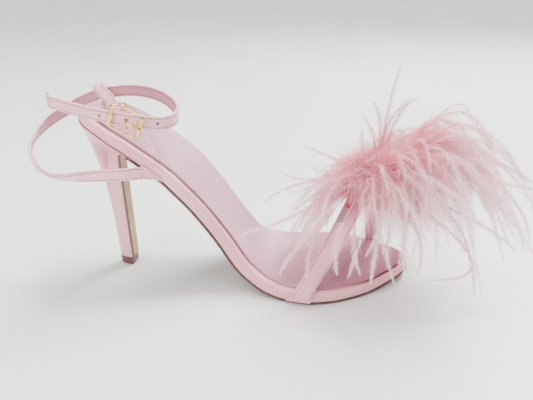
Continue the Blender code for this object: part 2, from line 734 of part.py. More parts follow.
def buckle_frame_axes(shift=0.0):
    """Middle of the buckle, with its directions along, across and outward.

    shift moves the place along the long strap, towards its tip.
    """
    path, facing = ankle_strap_path()
    tangent, edge, face = strap_frames(path, facing)
    length = np.concatenate([[0.0], np.cumsum(np.linalg.norm(np.diff(path, axis=0), axis=1))])
    mark = BUCKLE_PLACE * length[-1] + shift
    spot = np.array([np.interp(mark, length, path[:, k]) for k in range(3)])
    along = -np.array([np.interp(mark, length, tangent[:, k]) for k in range(3)])
    across = np.array([np.interp(mark, length, edge[:, k]) for k in range(3)])
    along = along / np.linalg.norm(along)
    across = across - along * np.dot(across, along)
    across = across / np.linalg.norm(across)
    outward = np.cross(along, across)
    return spot, along, across, outward


BAR_DEPTH = ANKLE_STRAP_THICK / 2.0 + BUCKLE_STRAP_THICK + 2.0 * GAP + BUCKLE_BAR
RING_HEIGHT = ANKLE_STRAP_THICK / 2.0 + GAP + BUCKLE_WIRE


def buckle_points(rows, shift=0.0):
    """World places of (along, across, outward) rows measured from the buckle's middle."""
    spot, along, across, outward = buckle_frame_axes(shift)
    rows = np.asarray(rows, float)
    return spot + rows[:, :1] * along + rows[:, 1:2] * across + rows[:, 2:] * outward


def buckle_strap_path():
    """Buckle strap's middle line from the inner arch over the long strap to the centre bar."""
    first, first_edges = tuck(*ANKLE_TUCK_INNER, ANKLE_STRAP_WIDTH, BUCKLE_STRAP_THICK, -1)
    run, run_edges = fold_points(BUCKLE_STRAP_RUN)
    wrap = BUCKLE_BAR + GAP + BUCKLE_STRAP_THICK / 2.0
    loop = [(-2.0 * LOOP_RUN, 0.0, -BAR_DEPTH - wrap * 0.9), (-LOOP_RUN, 0.0, -BAR_DEPTH - wrap)]
    for angle in range(-90, 91, 30):
        turn = math.radians(angle)
        loop.append((wrap * math.cos(turn), 0.0, -BAR_DEPTH + wrap * math.sin(turn)))
    loop.append((-LOOP_RETURN, 0.0, -BAR_DEPTH + wrap * 0.93))
    loop.append((-LOOP_RETURN - LOOP_RUN, 0.0, -BAR_DEPTH + wrap * 0.45))
    ends = buckle_points(np.array(loop) + np.array([BAR_OFFSET, 0.0, 0.0]))
    across = buckle_frame_axes()[2]
    places = np.concatenate([first, run, ends])
    edges = np.concatenate([first_edges, run_edges, np.tile(across, (len(ends), 1))])
    return smooth_path(places, edges, 3.4 * MM)


def tube(name, rows, radius, finish, collection, closed=False, resolution=2):
    """Round wire through the given places, as a mesh."""
    data = bpy.data.curves.new(name, "CURVE")
    data.dimensions = "3D"
    data.bevel_depth = radius
    data.bevel_resolution = resolution
    data.use_fill_caps = not closed
    spline = data.splines.new("POLY")
    spline.points.add(len(rows) - 1)
    for point, row in zip(spline.points, rows):
        point.co = (*row, 1.0)
    spline.use_cyclic_u = closed
    wire = bpy.data.objects.new(name + "_wire", data)
    collection.objects.link(wire)
    bpy.context.view_layer.update()
    evaluated = wire.evaluated_get(bpy.context.evaluated_depsgraph_get())
    skin = bpy.data.meshes.new_from_object(evaluated)
    mesh = bmesh.new()
    mesh.from_mesh(skin)
    bmesh.ops.remove_doubles(mesh, verts=mesh.verts[:], dist=0.00001)
    bmesh.ops.recalc_face_normals(mesh, faces=mesh.faces[:])
    bpy.data.objects.remove(wire)
    return place(name, mesh, finish, collection)


def make_buckle(finish, collection, tools):
    """Buckle frame: a rounded wire rectangle outside the strap, with its centre bar inside."""
    half_long = BUCKLE_LENGTH / 2.0 - BUCKLE_WIRE
    half_wide = BUCKLE_WIDTH / 2.0 - BUCKLE_WIRE
    loop = []
    for corner in range(4):
        sign_u = (1.0, -1.0, -1.0, 1.0)[corner]
        sign_v = (1.0, 1.0, -1.0, -1.0)[corner]
        for step in range(4):
            turn = math.radians(90.0 * corner + 30.0 * step)
            u = sign_u * (half_long - BUCKLE_CORNER) + BUCKLE_CORNER * math.cos(turn)
            v = sign_v * (half_wide - BUCKLE_CORNER) + BUCKLE_CORNER * math.sin(turn)
            loop.append((u, v, RING_HEIGHT))
    frame = tube("buckle_frame", buckle_points(loop), BUCKLE_WIRE, finish, collection, True)
    bend = 1.3 * MM
    staple = [(0.0, -half_wide, RING_HEIGHT), (0.0, -half_wide, -BAR_DEPTH + bend)]
    staple += [(0.0, -half_wide + bend * 0.3, -BAR_DEPTH + bend * 0.3)]
    staple += [(0.0, -half_wide + bend, -BAR_DEPTH), (0.0, half_wide - bend, -BAR_DEPTH)]
    staple += [(0.0, half_wide - bend * 0.3, -BAR_DEPTH + bend * 0.3)]
    staple += [(0.0, half_wide, -BAR_DEPTH + bend), (0.0, half_wide, RING_HEIGHT)]
    staple = np.array(staple) + np.array([BAR_OFFSET, 0.0, 0.0])
    bar = tube("buckle_bar_tool", buckle_points(staple), BUCKLE_BAR, finish, tools)
    hide_cutter(bar)
    cut(frame, bar, "UNION")
    return frame


HOOK_RADIUS = BUCKLE_BAR + GAP + PRONG_WIRE


def make_prong(finish, collection):
    """Prong hooked round the centre bar, through the strap's hole, down on the frame's end."""
    rows = []
    for angle in (-120, -90, -60, -30, 0):
        turn = math.radians(angle)
        u = BAR_OFFSET + HOOK_RADIUS * math.cos(turn)
        rows.append((u, 0.0, -BAR_DEPTH + HOOK_RADIUS * math.sin(turn)))
    top = RING_HEIGHT + BUCKLE_WIRE + GAP + PRONG_WIRE
    rest = BUCKLE_LENGTH / 2.0 - BUCKLE_WIRE
    rise = BAR_OFFSET + HOOK_RADIUS
    rows.append((rise, 0.0, ANKLE_STRAP_THICK / 2.0))
    rows.append((rise + 0.6 * MM, 0.0, top * 0.72))
    rows.append((rise + 2.0 * MM, 0.0, top * 0.96))
    rows.append((rest, 0.0, top))
    rows.append((rest + 0.6 * MM, 0.0, top - 0.1 * MM))
    return tube("buckle_prong", buckle_points(rows), PRONG_WIRE, finish, collection)


def make_straps(finishes, collection, tools):
    """The three straps, with the prong's hole and slot cut."""
    path, facing = toe_strap_path()
    rings = strap_rings(path, facing, TOE_STRAP_WIDTH, TOE_STRAP_THICK)
    shell("toe_strap", rings, finishes["strap"], collection)

    path, facing = ankle_strap_path()
    rings = strap_rings(path, facing, ANKLE_STRAP_WIDTH, ANKLE_STRAP_THICK, TIP_TAPER)
    long_strap = shell("ankle_strap_long", rings, finishes["strap"], collection)
    middle = BAR_OFFSET + HOOK_RADIUS
    hole_rows = [(middle, 0.0, -2.2 * MM), (middle, 0.0, 2.2 * MM)]
    for place_of in (-1, 0, 1):
        rows = buckle_points(hole_rows, place_of * HOLE_SPACING)
        radius = HOLE_RADIUS if place_of == 0 else SPARE_HOLE_RADIUS
        hole = tube("hole_tool", rows, radius, finishes["strap"], tools)
        hide_cutter(hole)
        cut(long_strap, hole)

    path, facing = buckle_strap_path()
    rings = strap_rings(path, facing, ANKLE_STRAP_WIDTH, BUCKLE_STRAP_THICK)
    short_strap = shell("ankle_strap_buckle", rings, finishes["strap"], collection)
    half_slot = PRONG_WIRE + GAP
    reach = HOOK_RADIUS + PRONG_WIRE + 2.0 * GAP
    deep = HOOK_RADIUS + 1.6 * MM
    slot_rings = []
    for side in (-half_slot, half_slot):
        slot_rings.append(
            buckle_points(
                [
                    (BAR_OFFSET - HOOK_RADIUS * 1.1, side, -BAR_DEPTH - deep),
                    (BAR_OFFSET + reach, side, -BAR_DEPTH - deep),
                    (BAR_OFFSET + reach, side, -BAR_DEPTH + deep),
                    (BAR_OFFSET - HOOK_RADIUS * 1.1, side, -BAR_DEPTH + deep),
                ]
            )
        )
    slot = shell("slot_tool", slot_rings, finishes["strap"], tools)
    hide_cutter(slot)
    cut(short_strap, slot)


def cut_tucks(board, finish, tools):
    """Recesses for the four strap ends in the board's underside."""
    ends = (
        ("toe_outer_tool", TOE_TUCK_OUTER, TOE_STRAP_WIDTH, TOE_STRAP_THICK, 1),
        ("toe_inner_tool", TOE_TUCK_INNER, TOE_STRAP_WIDTH, TOE_STRAP_THICK, 1),
        ("ankle_outer_tool", ANKLE_TUCK_OUTER, ANKLE_STRAP_WIDTH, ANKLE_STRAP_THICK, -1),
        ("ankle_inner_tool", ANKLE_TUCK_INNER, ANKLE_STRAP_WIDTH, BUCKLE_STRAP_THICK, -1),
    )
    for name, held, width, thick, turn in ends:
        cut(board, tuck_cutter(name, held, width, thick, turn, finish, tools))


def ground_under(x, y):
    """Lowest height that a feather may reach at a plan point."""
    share = share_at(x)
    offset = y - centre(np.clip(share, 0.0, 1.0))
    half = half_width(np.clip(share, 0.0, 1.0), offset < 0.0) + LOCK_CLEARANCE
    inside = (share > -0.02) & (share < 1.03) & (np.abs(offset) < half)
    slope = np.interp(share, GRID_SHARE, GRID_SLOPE)
    deep = (BOARD_EDGE * 1.1 + SOCK_THICK) * np.sqrt(1.0 + slope ** 2)
    height = np.interp(share, GRID_SHARE, GRID_HEIGHT) + deep
    return np.where(inside, height + LOCK_CLEARANCE, LOCK_CLEARANCE)


def make_feathers(finish, collection):
    """Feather tuft: a tied core with one curved, tapering lock drawn out of each of its faces."""
    path, _ = toe_strap_path()
    crown = path[np.argmax(path[:, 2])]
    seat = crown + np.array([CORE_AHEAD, -CORE_OUTWARD, 0.0])
    middle = seat + np.array([0.0, 0.0, CORE_HEIGHT / 2.0 + TOE_STRAP_THICK / 2.0 + GAP])
    mesh = bmesh.new()
    bmesh.ops.create_icosphere(mesh, subdivisions=2, radius=1.0)
    core_size = np.array([CORE_LENGTH, CORE_WIDTH, CORE_HEIGHT]) / 2.0
    faces = [face for face in mesh.faces if face.normal.z > -0.30]
    for vert in mesh.verts:
        vert.co = Vector(middle + np.array(vert.co) * core_size)
    for index, face in enumerate(faces):
        start = np.array(face.calc_center_median())
        away = (start - middle) / core_size
        away = away / np.linalg.norm(away) + np.array([LOCK_LEAN, 0.0, LOCK_RISE])
        away = away / np.linalg.norm(away)
        vary = 0.76 + 0.34 * math.sin(index * 2.4) ** 2
        reach = LOCK_REACH + LOCK_REACH_TOE * max(away[0], 0.0) ** 2
        reach = (reach - LOCK_REACH_HEEL * max(-away[0], 0.0) - LOCK_REACH_UP * away[2]) * vary
        curl = 0.16 * math.sin(3.1 * away[1] + 2.0 * away[0])
        corners = [np.array(vert.co) for vert in face.verts]
        drop_face = face
        for step in range(1, LOCK_STEPS + 1):
            go = reach * (step / LOCK_STEPS) ** 1.1
            flat = math.hypot(away[0], away[1])
            spot = start + away * go
            spot[2] -= LOCK_DROOP * flat * go ** 2 / (1.0 + 6.0 * go)
            spot[0] -= curl * away[1] * go
            spot[1] += curl * away[0] * go
            spot[2] = max(spot[2], float(ground_under(spot[0], spot[1])) + 1.0 * MM)
            gone = step / LOCK_STEPS
            taper = (0.80 + 1.3 * gone) * (1.0 - gone) ** 0.8 + 0.09
            made = bmesh.ops.extrude_discrete_faces(mesh, faces=[drop_face])
            drop_face = made["faces"][0]
            for vert, corner in zip(drop_face.verts, corners):
                vert.co = Vector(spot + (corner - start) * taper)
    bmesh.ops.triangulate(mesh, faces=mesh.faces[:])
    bmesh.ops.recalc_face_normals(mesh, faces=mesh.faces[:])
    return place("feather_pompom", mesh, finish, collection)


def main():
    """Build the whole sandal."""
    for thing in list(bpy.data.objects):
        bpy.data.objects.remove(thing)
    sandal = bpy.data.collections.new("high_heel_sandal")
    tools = bpy.data.collections.new("cutters")
    bpy.context.scene.collection.children.link(sandal)
    bpy.context.scene.collection.children.link(tools)
    finishes = {
        "wrap": material("pink_wrap", (0.80, 0.64, 0.67), 0.42),
        "strap": material("pink_strap", (0.82, 0.67, 0.70), 0.40),
        "sock": material("mauve_sock", (0.50, 0.36, 0.38), 0.45),
        "outsole": material("tan_outsole", (0.22, 0.15, 0.10), 0.60),
        "breast": material("tan_breast", (0.36, 0.27, 0.19), 0.50),
        "top_piece": material("brown_top_piece", (0.11, 0.06, 0.055), 0.50),
        "gold": material("pale_gold", (0.85, 0.68, 0.42), 0.22, 1.0),
        "feather": material("pink_feather", (0.86, 0.50, 0.56), 0.75),
    }
    make_outsole(finishes["outsole"], sandal)
    board = make_board(finishes["wrap"], sandal)
    cut_tucks(board, finishes["wrap"], tools)
    make_sock(finishes["sock"], sandal)
    make_heel(finishes["wrap"], sandal)
    make_breast_flap(finishes["breast"], sandal)
    make_top_piece(finishes["top_piece"], sandal)
    make_straps(finishes, sandal, tools)
    make_buckle(finishes["gold"], sandal, tools)
    make_prong(finishes["gold"], sandal)
    make_feathers(finishes["feather"], sandal)


main()
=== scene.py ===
"""High heel sandal for the right foot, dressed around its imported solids.

Metres, toe at +X, outer side at -Y, floor at Z = 0. The origin is below the stiletto heel.
"""

import math
from collections import namedtuple

import bmesh
import bpy
import numpy as np
from mathutils import Matrix, Vector


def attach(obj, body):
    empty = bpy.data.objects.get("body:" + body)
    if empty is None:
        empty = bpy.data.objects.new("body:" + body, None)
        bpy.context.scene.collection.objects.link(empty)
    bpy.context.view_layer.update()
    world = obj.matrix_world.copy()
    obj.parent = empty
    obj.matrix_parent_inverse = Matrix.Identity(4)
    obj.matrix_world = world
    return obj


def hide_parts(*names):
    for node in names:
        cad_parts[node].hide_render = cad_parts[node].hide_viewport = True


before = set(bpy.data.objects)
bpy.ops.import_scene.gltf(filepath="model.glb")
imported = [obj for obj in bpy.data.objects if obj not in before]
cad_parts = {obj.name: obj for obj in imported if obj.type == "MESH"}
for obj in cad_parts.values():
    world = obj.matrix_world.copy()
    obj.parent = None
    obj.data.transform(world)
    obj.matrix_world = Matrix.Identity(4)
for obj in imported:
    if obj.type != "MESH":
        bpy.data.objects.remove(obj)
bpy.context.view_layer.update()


# The room is a plain pale table under soft boxes. The camera stands where the photograph was
# taken from, close to the shoe and a little above it.
MM = 0.001
CAMERA_PLACE = (0.13025, -0.25828, 0.17427)
CAMERA_YAW = math.radians(-7.99)
CAMERA_PITCH = math.radians(25.53)
CAMERA_ROLL = math.radians(-0.92)
CAMERA_LENS = 32.224
TABLE_SIZE = 60.0
SHOE_MIDDLE = (0.11, 0.0, 0.05)
SUN_AIM = (-0.42, -0.30, -1.0)

SoftBox = namedtuple("SoftBox", "name place size power colour")
SOFT_BOXES = [
    SoftBox("window", (0.60, 0.70, 0.80), 0.5, 20.0, (1.0, 0.99, 0.97)),
    SoftBox("ceiling", (-0.05, 0.0, 1.2), 0.8, 14.0, (1.0, 0.99, 0.98)),
    SoftBox("front", (-0.40, -0.90, 0.55), 0.6, 9.0, (1.0, 0.96, 0.94)),
]


def tone(red, green, blue):
    """A display colour in 0 to 255, as the light values that shaders take."""
    part = np.array([red, green, blue]) / 255.0
    light = np.where(part > 0.04045, ((part + 0.055) / 1.055) ** 2.4, part / 12.92)
    return (*light.tolist(), 1.0)


def add(tree, kind, inputs=None, **settings):
    """One shader node with its settings. An input is a value, or a socket to link from."""
    made = tree.nodes.new("ShaderNode" + kind)
    for name, value in settings.items():
        setattr(made, name, value)
    for name, value in (inputs or {}).items():
        if isinstance(value, bpy.types.NodeSocket):
            tree.links.new(value, made.inputs[name])
        else:
            made.inputs[name].default_value = value
    return made


def blank_finish(name, **sockets):
    """A Principled finish and its tree, with plain values on its sockets."""
    finish = bpy.data.materials.new(name)
    finish.use_nodes = True
    for socket, value in sockets.items():
        shader = finish.node_tree.nodes["Principled BSDF"]
        shader.inputs[socket.replace("_", " ")].default_value = value
    return finish, finish.node_tree


def blend(tree, amount, first, second):
    """Colour mixed from first to second by an amount from 0 to 1."""
    return add(tree, "Mix", {0: amount, 6: first, 7: second}, data_type="RGBA").outputs[2]


def fade(tree, value, start, stop, low=0.0, high=1.0):
    """Amount that goes from low to high while a value goes from start to stop."""
    spread = add(tree, "MapRange", {"Value": value, 1: start, 2: stop, 3: low, 4: high})
    return spread.outputs["Result"]


def patches(tree, scale, low, high, detail=3.0, stretch=(1.0, 1.0, 1.0)):
    """Soft cloudy pattern from low to high on the piece's own coordinates, scaled by stretch."""
    where = add(tree, "TexCoord").outputs["Object"]
    where = add(tree, "Mapping", {"Vector": where, "Scale": stretch}).outputs[0]
    noise = add(tree, "TexNoise", {"Vector": where, "Scale": scale, "Detail": detail})
    return fade(tree, noise.outputs["Fac"], 0.35, 0.65, low, high)


def cover(finish, colour, gloss=None, height=None, strength=0.0, depth=0.1 * MM):
    """Give a finish its colour, a cloudy gloss by (scale, low, high), and a bump by a height."""
    tree = finish.node_tree
    shader = tree.nodes["Principled BSDF"]
    tree.links.new(colour, shader.inputs["Base Color"])
    if gloss:
        tree.links.new(patches(tree, *gloss), shader.inputs["Roughness"])
    if height:
        bump = add(tree, "Bump", {"Height": height, "Strength": strength, "Distance": depth})
        tree.links.new(bump.outputs["Normal"], shader.inputs["Normal"])
    return finish


def table_finish():
    """Satin white table top with faint cloudy unevenness."""
    finish, tree = blank_finish("pale_table")
    cloud = patches(tree, 3.0, 0.0, 1.0)
    colour = blend(tree, cloud, tone(236, 239, 235), tone(229, 233, 229))
    return cover(finish, colour, (9.0, 0.42, 0.52))


def in_scene(name, data):
    """Object that shows a mesh, lamp or camera."""
    made = bpy.data.objects.new(name, data)
    bpy.context.scene.collection.objects.link(made)
    return made


def lamp(name, kind, aim, power, place=(0.0, 0.0, 0.0), **settings):
    """Lamp of one kind that shines along a direction."""
    data = bpy.data.lights.new(name, kind)
    data.energy = power
    for setting, value in settings.items():
        setattr(data, setting, value)
    made = in_scene(name, data)
    made.location = place
    made.rotation_euler = Vector(aim).to_track_quat("-Z", "Y").to_euler()


def camera_axes():
    """The camera's right, up and backward directions: yaw about Z, then pitch, then roll."""
    ahead = math.cos(CAMERA_PITCH)
    forward = [math.sin(CAMERA_YAW) * ahead, math.cos(CAMERA_YAW) * ahead, -math.sin(CAMERA_PITCH)]
    level = np.array([math.cos(CAMERA_YAW), -math.sin(CAMERA_YAW), 0.0])
    upward = np.cross(level, forward)
    right = level * math.cos(CAMERA_ROLL) + upward * math.sin(CAMERA_ROLL)
    upward = upward * math.cos(CAMERA_ROLL) - level * math.sin(CAMERA_ROLL)
    return np.stack([right, upward, -np.array(forward)], 1)


def make_room():
    """Table, lights, world and camera."""
    data = bpy.data.meshes.new("table")
    half = TABLE_SIZE / 2.0
    corners = [(-half, -half, 0.0), (half, -half, 0.0), (half, half, 0.0), (-half, half, 0.0)]
    data.from_pydata(corners, [], [(0, 1, 2, 3)])
    data.materials.append(table_finish())
    in_scene("table", data)

    for box in SOFT_BOXES:
        aim = Vector(SHOE_MIDDLE) - Vector(box.place)
        lamp(box.name, "AREA", aim, box.power, box.place, size=box.size, color=box.colour)
    lamp("daylight", "SUN", SUN_AIM, 3.8, angle=math.radians(14.0))

    world = bpy.data.worlds.new("room")
    world.use_nodes = True
    background = world.node_tree.nodes["Background"]
    background.inputs["Color"].default_value = (0.90, 0.94, 1.0, 1.0)
    background.inputs["Strength"].default_value = 0.62
    bpy.context.scene.world = world

    lens = bpy.data.cameras.new("camera")
    lens.lens = CAMERA_LENS
    lens.sensor_width = 36.0
    lens.sensor_fit = "HORIZONTAL"
    lens.clip_start = 0.01
    camera = in_scene("camera", lens)
    turn = Matrix(camera_axes().tolist()).to_4x4()
    camera.matrix_world = Matrix.Translation(CAMERA_PLACE) @ turn
    bpy.context.scene.camera = camera


make_room()


# Insole board: the stiff board that the foot stands on, wrapped in smooth pale pink leather.
# Its rounded edge shows as a band between the sock lining and the outsole.
SHOE_LENGTH = 197.0 * MM
HEEL_OVERHANG = 14.8 * MM
BALL_WIDTH = 74.7 * MM
SEAT_WIDTH = 50.0 * MM
SEAT_RISE = 98.5 * MM
TOE_SPRING = 4.6 * MM
TOE_SWING = 3.8 * MM
WAIST_SWING = 3.7 * MM
BOARD_EDGE = 7.2 * MM
DISH_DEPTH = 1.1 * MM
SOCK_INSET = 3.6 * MM
OUTSOLE_THICK = 1.4 * MM
GAP = 0.3 * MM
RIM_TOP_REACH = 2.3 * MM
RIM_TOP_DROP = 1.9 * MM
RIM_FOOT_RADIUS = 1.2 * MM
SPINE_MARGIN = 0.42 * SEAT_WIDTH
OUTLINE_POINTS = 320
WAIST_SHARE, BALL_SHARE = 0.28, 0.56
TOE_SWING_SHARE = 0.6
DISH_EASE_SHARE = 0.09
GRID_REACH, GRID_POINTS = 0.08, 581
SOFT_POINTS = 25

Station = namedtuple("Station", "share rise spring lateral medial edge")
LAST = [
    Station(0.00, 1.000, 0.0, 0.000, 0.000, 0.86),
    Station(0.06, 0.968, 0.0, 0.380, 0.400, 0.88),
    Station(0.14, 0.888, 0.0, 0.500, 0.485, 0.92),
    Station(0.20, 0.803, 0.0, 0.510, 0.485, 0.96),
    Station(0.28, 0.675, 0.0, 0.510, 0.480, 1.00),
    Station(0.35, 0.508, 0.0, 0.440, 0.400, 1.05),
    Station(0.42, 0.302, 0.0, 0.390, 0.345, 1.08),
    Station(0.49, 0.108, 0.0, 0.402, 0.360, 1.08),
    Station(0.56, 0.026, 0.0, 0.435, 0.419, 1.05),
    Station(0.63, 0.000, 0.0, 0.480, 0.468, 0.98),
    Station(0.70, 0.000, 0.0, 0.502, 0.494, 0.92),
    Station(0.76, 0.000, 0.0, 0.478, 0.500, 0.87),
    Station(0.82, 0.000, 0.0, 0.417, 0.478, 0.82),
    Station(0.87, 0.000, 0.05, 0.350, 0.420, 0.77),
    Station(0.93, 0.000, 0.42, 0.240, 0.290, 0.72),
    Station(1.00, 0.000, 1.0, 0.000, 0.000, 0.67),
]


def cubic(start, stop, start_slope, stop_slope, step, t):
    """Cubic from start to stop with a slope at each, at t from 0 to 1 of the step."""
    return (
        start * (1.0 + 2.0 * t) * (1.0 - t) ** 2
        + start_slope * step * t * (1.0 - t) ** 2
        + stop * (3.0 - 2.0 * t) * t ** 2
        + stop_slope * step * (t - 1.0) * t ** 2
    )


def last_column(name, share):
    """One column of LAST between its rows: a cubic with slopes that never overshoot.

    Each slope is the harmonic mean of its neighbours', or 0 at a peak. The widths are squared
    first, so that they close roundly at the heel and the toe.
    """
    places = np.array([row.share for row in LAST])
    values = np.array([getattr(row, name) for row in LAST])
    rounded = name in ("lateral", "medial")
    if rounded:
        values = values ** 2
    steps = np.diff(places)
    slopes = np.diff(values) / steps
    same = slopes[:-1] * slopes[1:] > 0.0
    safe = np.where(same, slopes[:-1] + slopes[1:], 1.0)
    inner = np.where(same, 2.0 * slopes[:-1] * slopes[1:] / safe, 0.0)
    lean = np.concatenate([slopes[:1], inner, slopes[-1:]])
    share = np.clip(share, 0.0, 1.0)
    row = np.clip(np.searchsorted(places, share, side="right") - 1, 0, len(steps) - 1)
    t = (share - places[row]) / steps[row]
    value = cubic(values[row], values[row + 1], lean[row], lean[row + 1], steps[row], t)
    return np.sqrt(np.maximum(value, 0.0)) if rounded else value


def underside():
    """Height of the board's underside and its slope, on an even grid along the shoe.

    It runs on straight past both ends, and a bell shaped window softens it.
    """
    share = np.linspace(-GRID_REACH, 1.0 + GRID_REACH, GRID_POINTS)
    rise = SEAT_RISE * last_column("rise", share) + TOE_SPRING * last_column("spring", share)
    back_slope = (rise[60] - rise[45]) / (share[60] - share[45])
    toe_slope = (rise[-45] - rise[-60]) / (share[-45] - share[-60])
    rise = rise + back_slope * np.minimum(share, 0.0)
    rise = rise + toe_slope * np.maximum(share - 1.0, 0.0)
    window = np.hanning(SOFT_POINTS)
    half = len(window) // 2
    padded = np.concatenate([np.full(half, rise[0]), rise, np.full(half, rise[-1])])
    soft = np.convolve(padded, window / window.sum(), mode="valid") + OUTSOLE_THICK + GAP
    return share, soft, np.gradient(soft, share * SHOE_LENGTH)


GRID_SHARE, GRID_HEIGHT, GRID_SLOPE = underside()


def share_at(x):
    """Share of the shoe's length at a place along X."""
    return (x + HEEL_OVERHANG) / SHOE_LENGTH


def centre(share):
    """Y of the shoe's curved centre line."""
    toe = np.clip((share - TOE_SWING_SHARE) / (1.0 - TOE_SWING_SHARE), 0.0, 1.0)
    return WAIST_SWING * share + TOE_SWING * toe ** 2


def half_width(share, lateral):
    """Half width of the board on its outer or inner side."""
    mix = np.clip((share - WAIST_SHARE) / (BALL_SHARE - WAIST_SHARE), 0.0, 1.0)
    width = SEAT_WIDTH + (BALL_WIDTH - SEAT_WIDTH) * mix
    sides = last_column("lateral", share), last_column("medial", share)
    return width * np.where(lateral, *sides)


def plan(share, across):
    """Plan point at a share of the length and -1 to 1 across."""
    half = half_width(share, across < 0.0)
    return np.stack([share * SHOE_LENGTH - HEEL_OVERHANG, centre(share) + half * across], -1)


def on_last(flat, lift):
    """Point above the board's underside, by a height measured square to its curve."""
    share = share_at(flat[..., 0])
    slope = np.interp(share, GRID_SHARE, GRID_SLOPE)
    height = np.interp(share, GRID_SHARE, GRID_HEIGHT)
    size = np.sqrt(1.0 + slope ** 2)
    return np.stack(
        [flat[..., 0] - slope / size * lift, flat[..., 1] + 0.0 * lift, height + lift / size], -1
    )


def board_lift(flat):
    """Height of the board's dished top above its underside."""
    share = share_at(flat[..., 0])
    offset = flat[..., 1] - centre(share)
    across = offset / np.maximum(half_width(share, offset < 0.0), 1.0 * MM)
    ends = np.clip(np.minimum(share, 1.0 - share) / DISH_EASE_SHARE, 0.0, 1.0)
    dish = DISH_DEPTH * np.clip(1.0 - across ** 2, 0.0, 1.0) * ends * (2.0 - ends)
    return BOARD_EDGE * last_column("edge", share) - dish


def unit(rows):
    """Rows scaled to length 1."""
    return rows / np.linalg.norm(rows, axis=-1, keepdims=True)


def inset(ring, distance):
    """A closed plan ring moved inwards by a distance."""
    loop = ring[:-1]
    along = unit(np.roll(loop, -1, 0) - np.roll(loop, 1, 0))
    moved = loop - np.stack([along[:, 1], -along[:, 0]], 1) * distance
    return np.concatenate([moved, moved[:1]])


def toward_spine(ring, fraction, heel_margin):
    """A plan ring drawn in towards the centre line, 1 at the ring and 0 at the line."""
    low, high = ring[:, 0].min() + heel_margin, ring[:, 0].max() - SPINE_MARGIN
    spine_x = np.clip(ring[:, 0], low, high)
    spine = np.stack([spine_x, centre(share_at(spine_x))], 1)
    return spine + (ring - spine) * fraction


def rim_shares():
    """Shares of the length for points round the rim, closer at heel and toe by a cosine."""
    angle = (np.arange(OUTLINE_POINTS // 2) + 0.5) / (OUTLINE_POINTS // 2) * math.pi
    return 0.5 - 0.5 * np.cos(angle)


def full_outline():
    """The board's outline as a closed plan ring, outer side first."""
    share = rim_shares()
    side = np.ones_like(share)
    ring = np.concatenate([plan(share, -side), plan(share[::-1], side)])
    return np.concatenate([ring, ring[:1]])


def raw_mesh(name, points, faces, marks=None):
    """Object over points and faces, with an attribute for each mark that its finish reads."""
    data = bpy.data.meshes.new(name)
    data.from_pydata(points.reshape(-1, 3).tolist(), [], faces)
    for mark, values in (marks or {}).items():
        layer = data.attributes.new(mark, "FLOAT", "POINT")
        values = np.broadcast_to(values, points.shape[:-1])
        layer.data.foreach_set("value", np.ascontiguousarray(values, np.float32).ravel())
    return in_scene(name, data)


def skin(name, grid, marks=None, crease=35.0):
    """Mesh over a grid of points: a quad joins each point to the next along both ways.

    Points that fall together at a seam or a pole are merged, which closes the shape.
    """
    rows, columns = grid.shape[:2]
    index = np.arange(rows * columns).reshape(rows, columns)
    quads = np.stack([index[:-1, :-1], index[:-1, 1:], index[1:, 1:], index[1:, :-1]], -1)
    piece = raw_mesh(name, grid, quads.reshape(-1, 4).tolist(), marks)
    mesh = bmesh.new()
    mesh.from_mesh(piece.data)
    bmesh.ops.remove_doubles(mesh, verts=mesh.verts[:], dist=1e-6)
    bmesh.ops.recalc_face_normals(mesh, faces=mesh.faces[:])
    if mesh.calc_volume(signed=True) < 0.0:
        bmesh.ops.reverse_faces(mesh, faces=mesh.faces[:])
    mesh.to_mesh(piece.data)
    mesh.free()
    piece.data.shade_smooth()
    piece.data.set_sharp_from_angle(angle=math.radians(crease))
    return piece


def settle(piece, finish, slot, *nodes):
    """Give a piece its finish, tie it to the shoe, and hide the solids that it stands for."""
    piece.data.materials.clear()
    piece.data.materials.append(finish)
    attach(piece, "root")
    if nodes:
        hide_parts(*nodes)
    return piece


def plate(ring, top, bottom, rim, heel_margin=SPINE_MARGIN, rows=7):
    """Grid over a thin plate: from its spine out over the top, round its rim, and back below.

    rim rows are (inset, depth below the top, height above the bottom), with None for the one
    that doesn't place the row.
    """
    fractions = np.linspace(0.0, 1.0, rows)[:-1]
    drawn = [toward_spine(ring, fraction, heel_margin) for fraction in fractions]
    made = [on_last(flat, top(flat)) for flat in drawn]
    for step_in, below, above in rim:
        flat = inset(ring, step_in)
        lift = top(flat) - below if above is None else bottom(flat) + above
        made.append(on_last(flat, lift))
    made += [on_last(flat, bottom(flat)) for flat in drawn[::-1]]
    return np.array(made)


def total(tree, first, second, **settings):
    """Sum of two patterns."""
    return add(tree, "Math", {0: first, 1: second}, operation="ADD", **settings).outputs[0]


def mark_of(tree, name):
    """Value of a mark on the piece's points."""
    return add(tree, "Attribute", attribute_name=name).outputs["Fac"]


def smooth_leather(name, light, deep, roughness, grain, lining=None):
    """Smooth dyed leather: two close tones, a fine pebble, faint creases and uneven gloss.

    With a lining tone, the leather takes that tone where the piece has a lining mark.
    """
    finish, tree = blank_finish(name, Coat_Weight=0.12, Coat_Roughness=0.25)
    broad, fine = patches(tree, 26.0, 0.0, 1.0), patches(tree, 420.0, 0.0, 0.35)
    colour = blend(tree, total(tree, broad, fine, use_clamp=True), light, deep)
    if lining:
        colour = blend(tree, mark_of(tree, "lining"), colour, lining)
    where = {"Vector": add(tree, "TexCoord").outputs["Object"], "Scale": 1900.0}
    pebble = add(tree, "TexVoronoi", where, feature="SMOOTH_F1").outputs["Distance"]
    height = total(tree, pebble, patches(tree, 240.0, 0.0, 1.0, 5.0))
    gloss = (60.0, roughness - 0.04, roughness + 0.07)
    return cover(finish, colour, gloss, height, grain, 0.12 * MM)


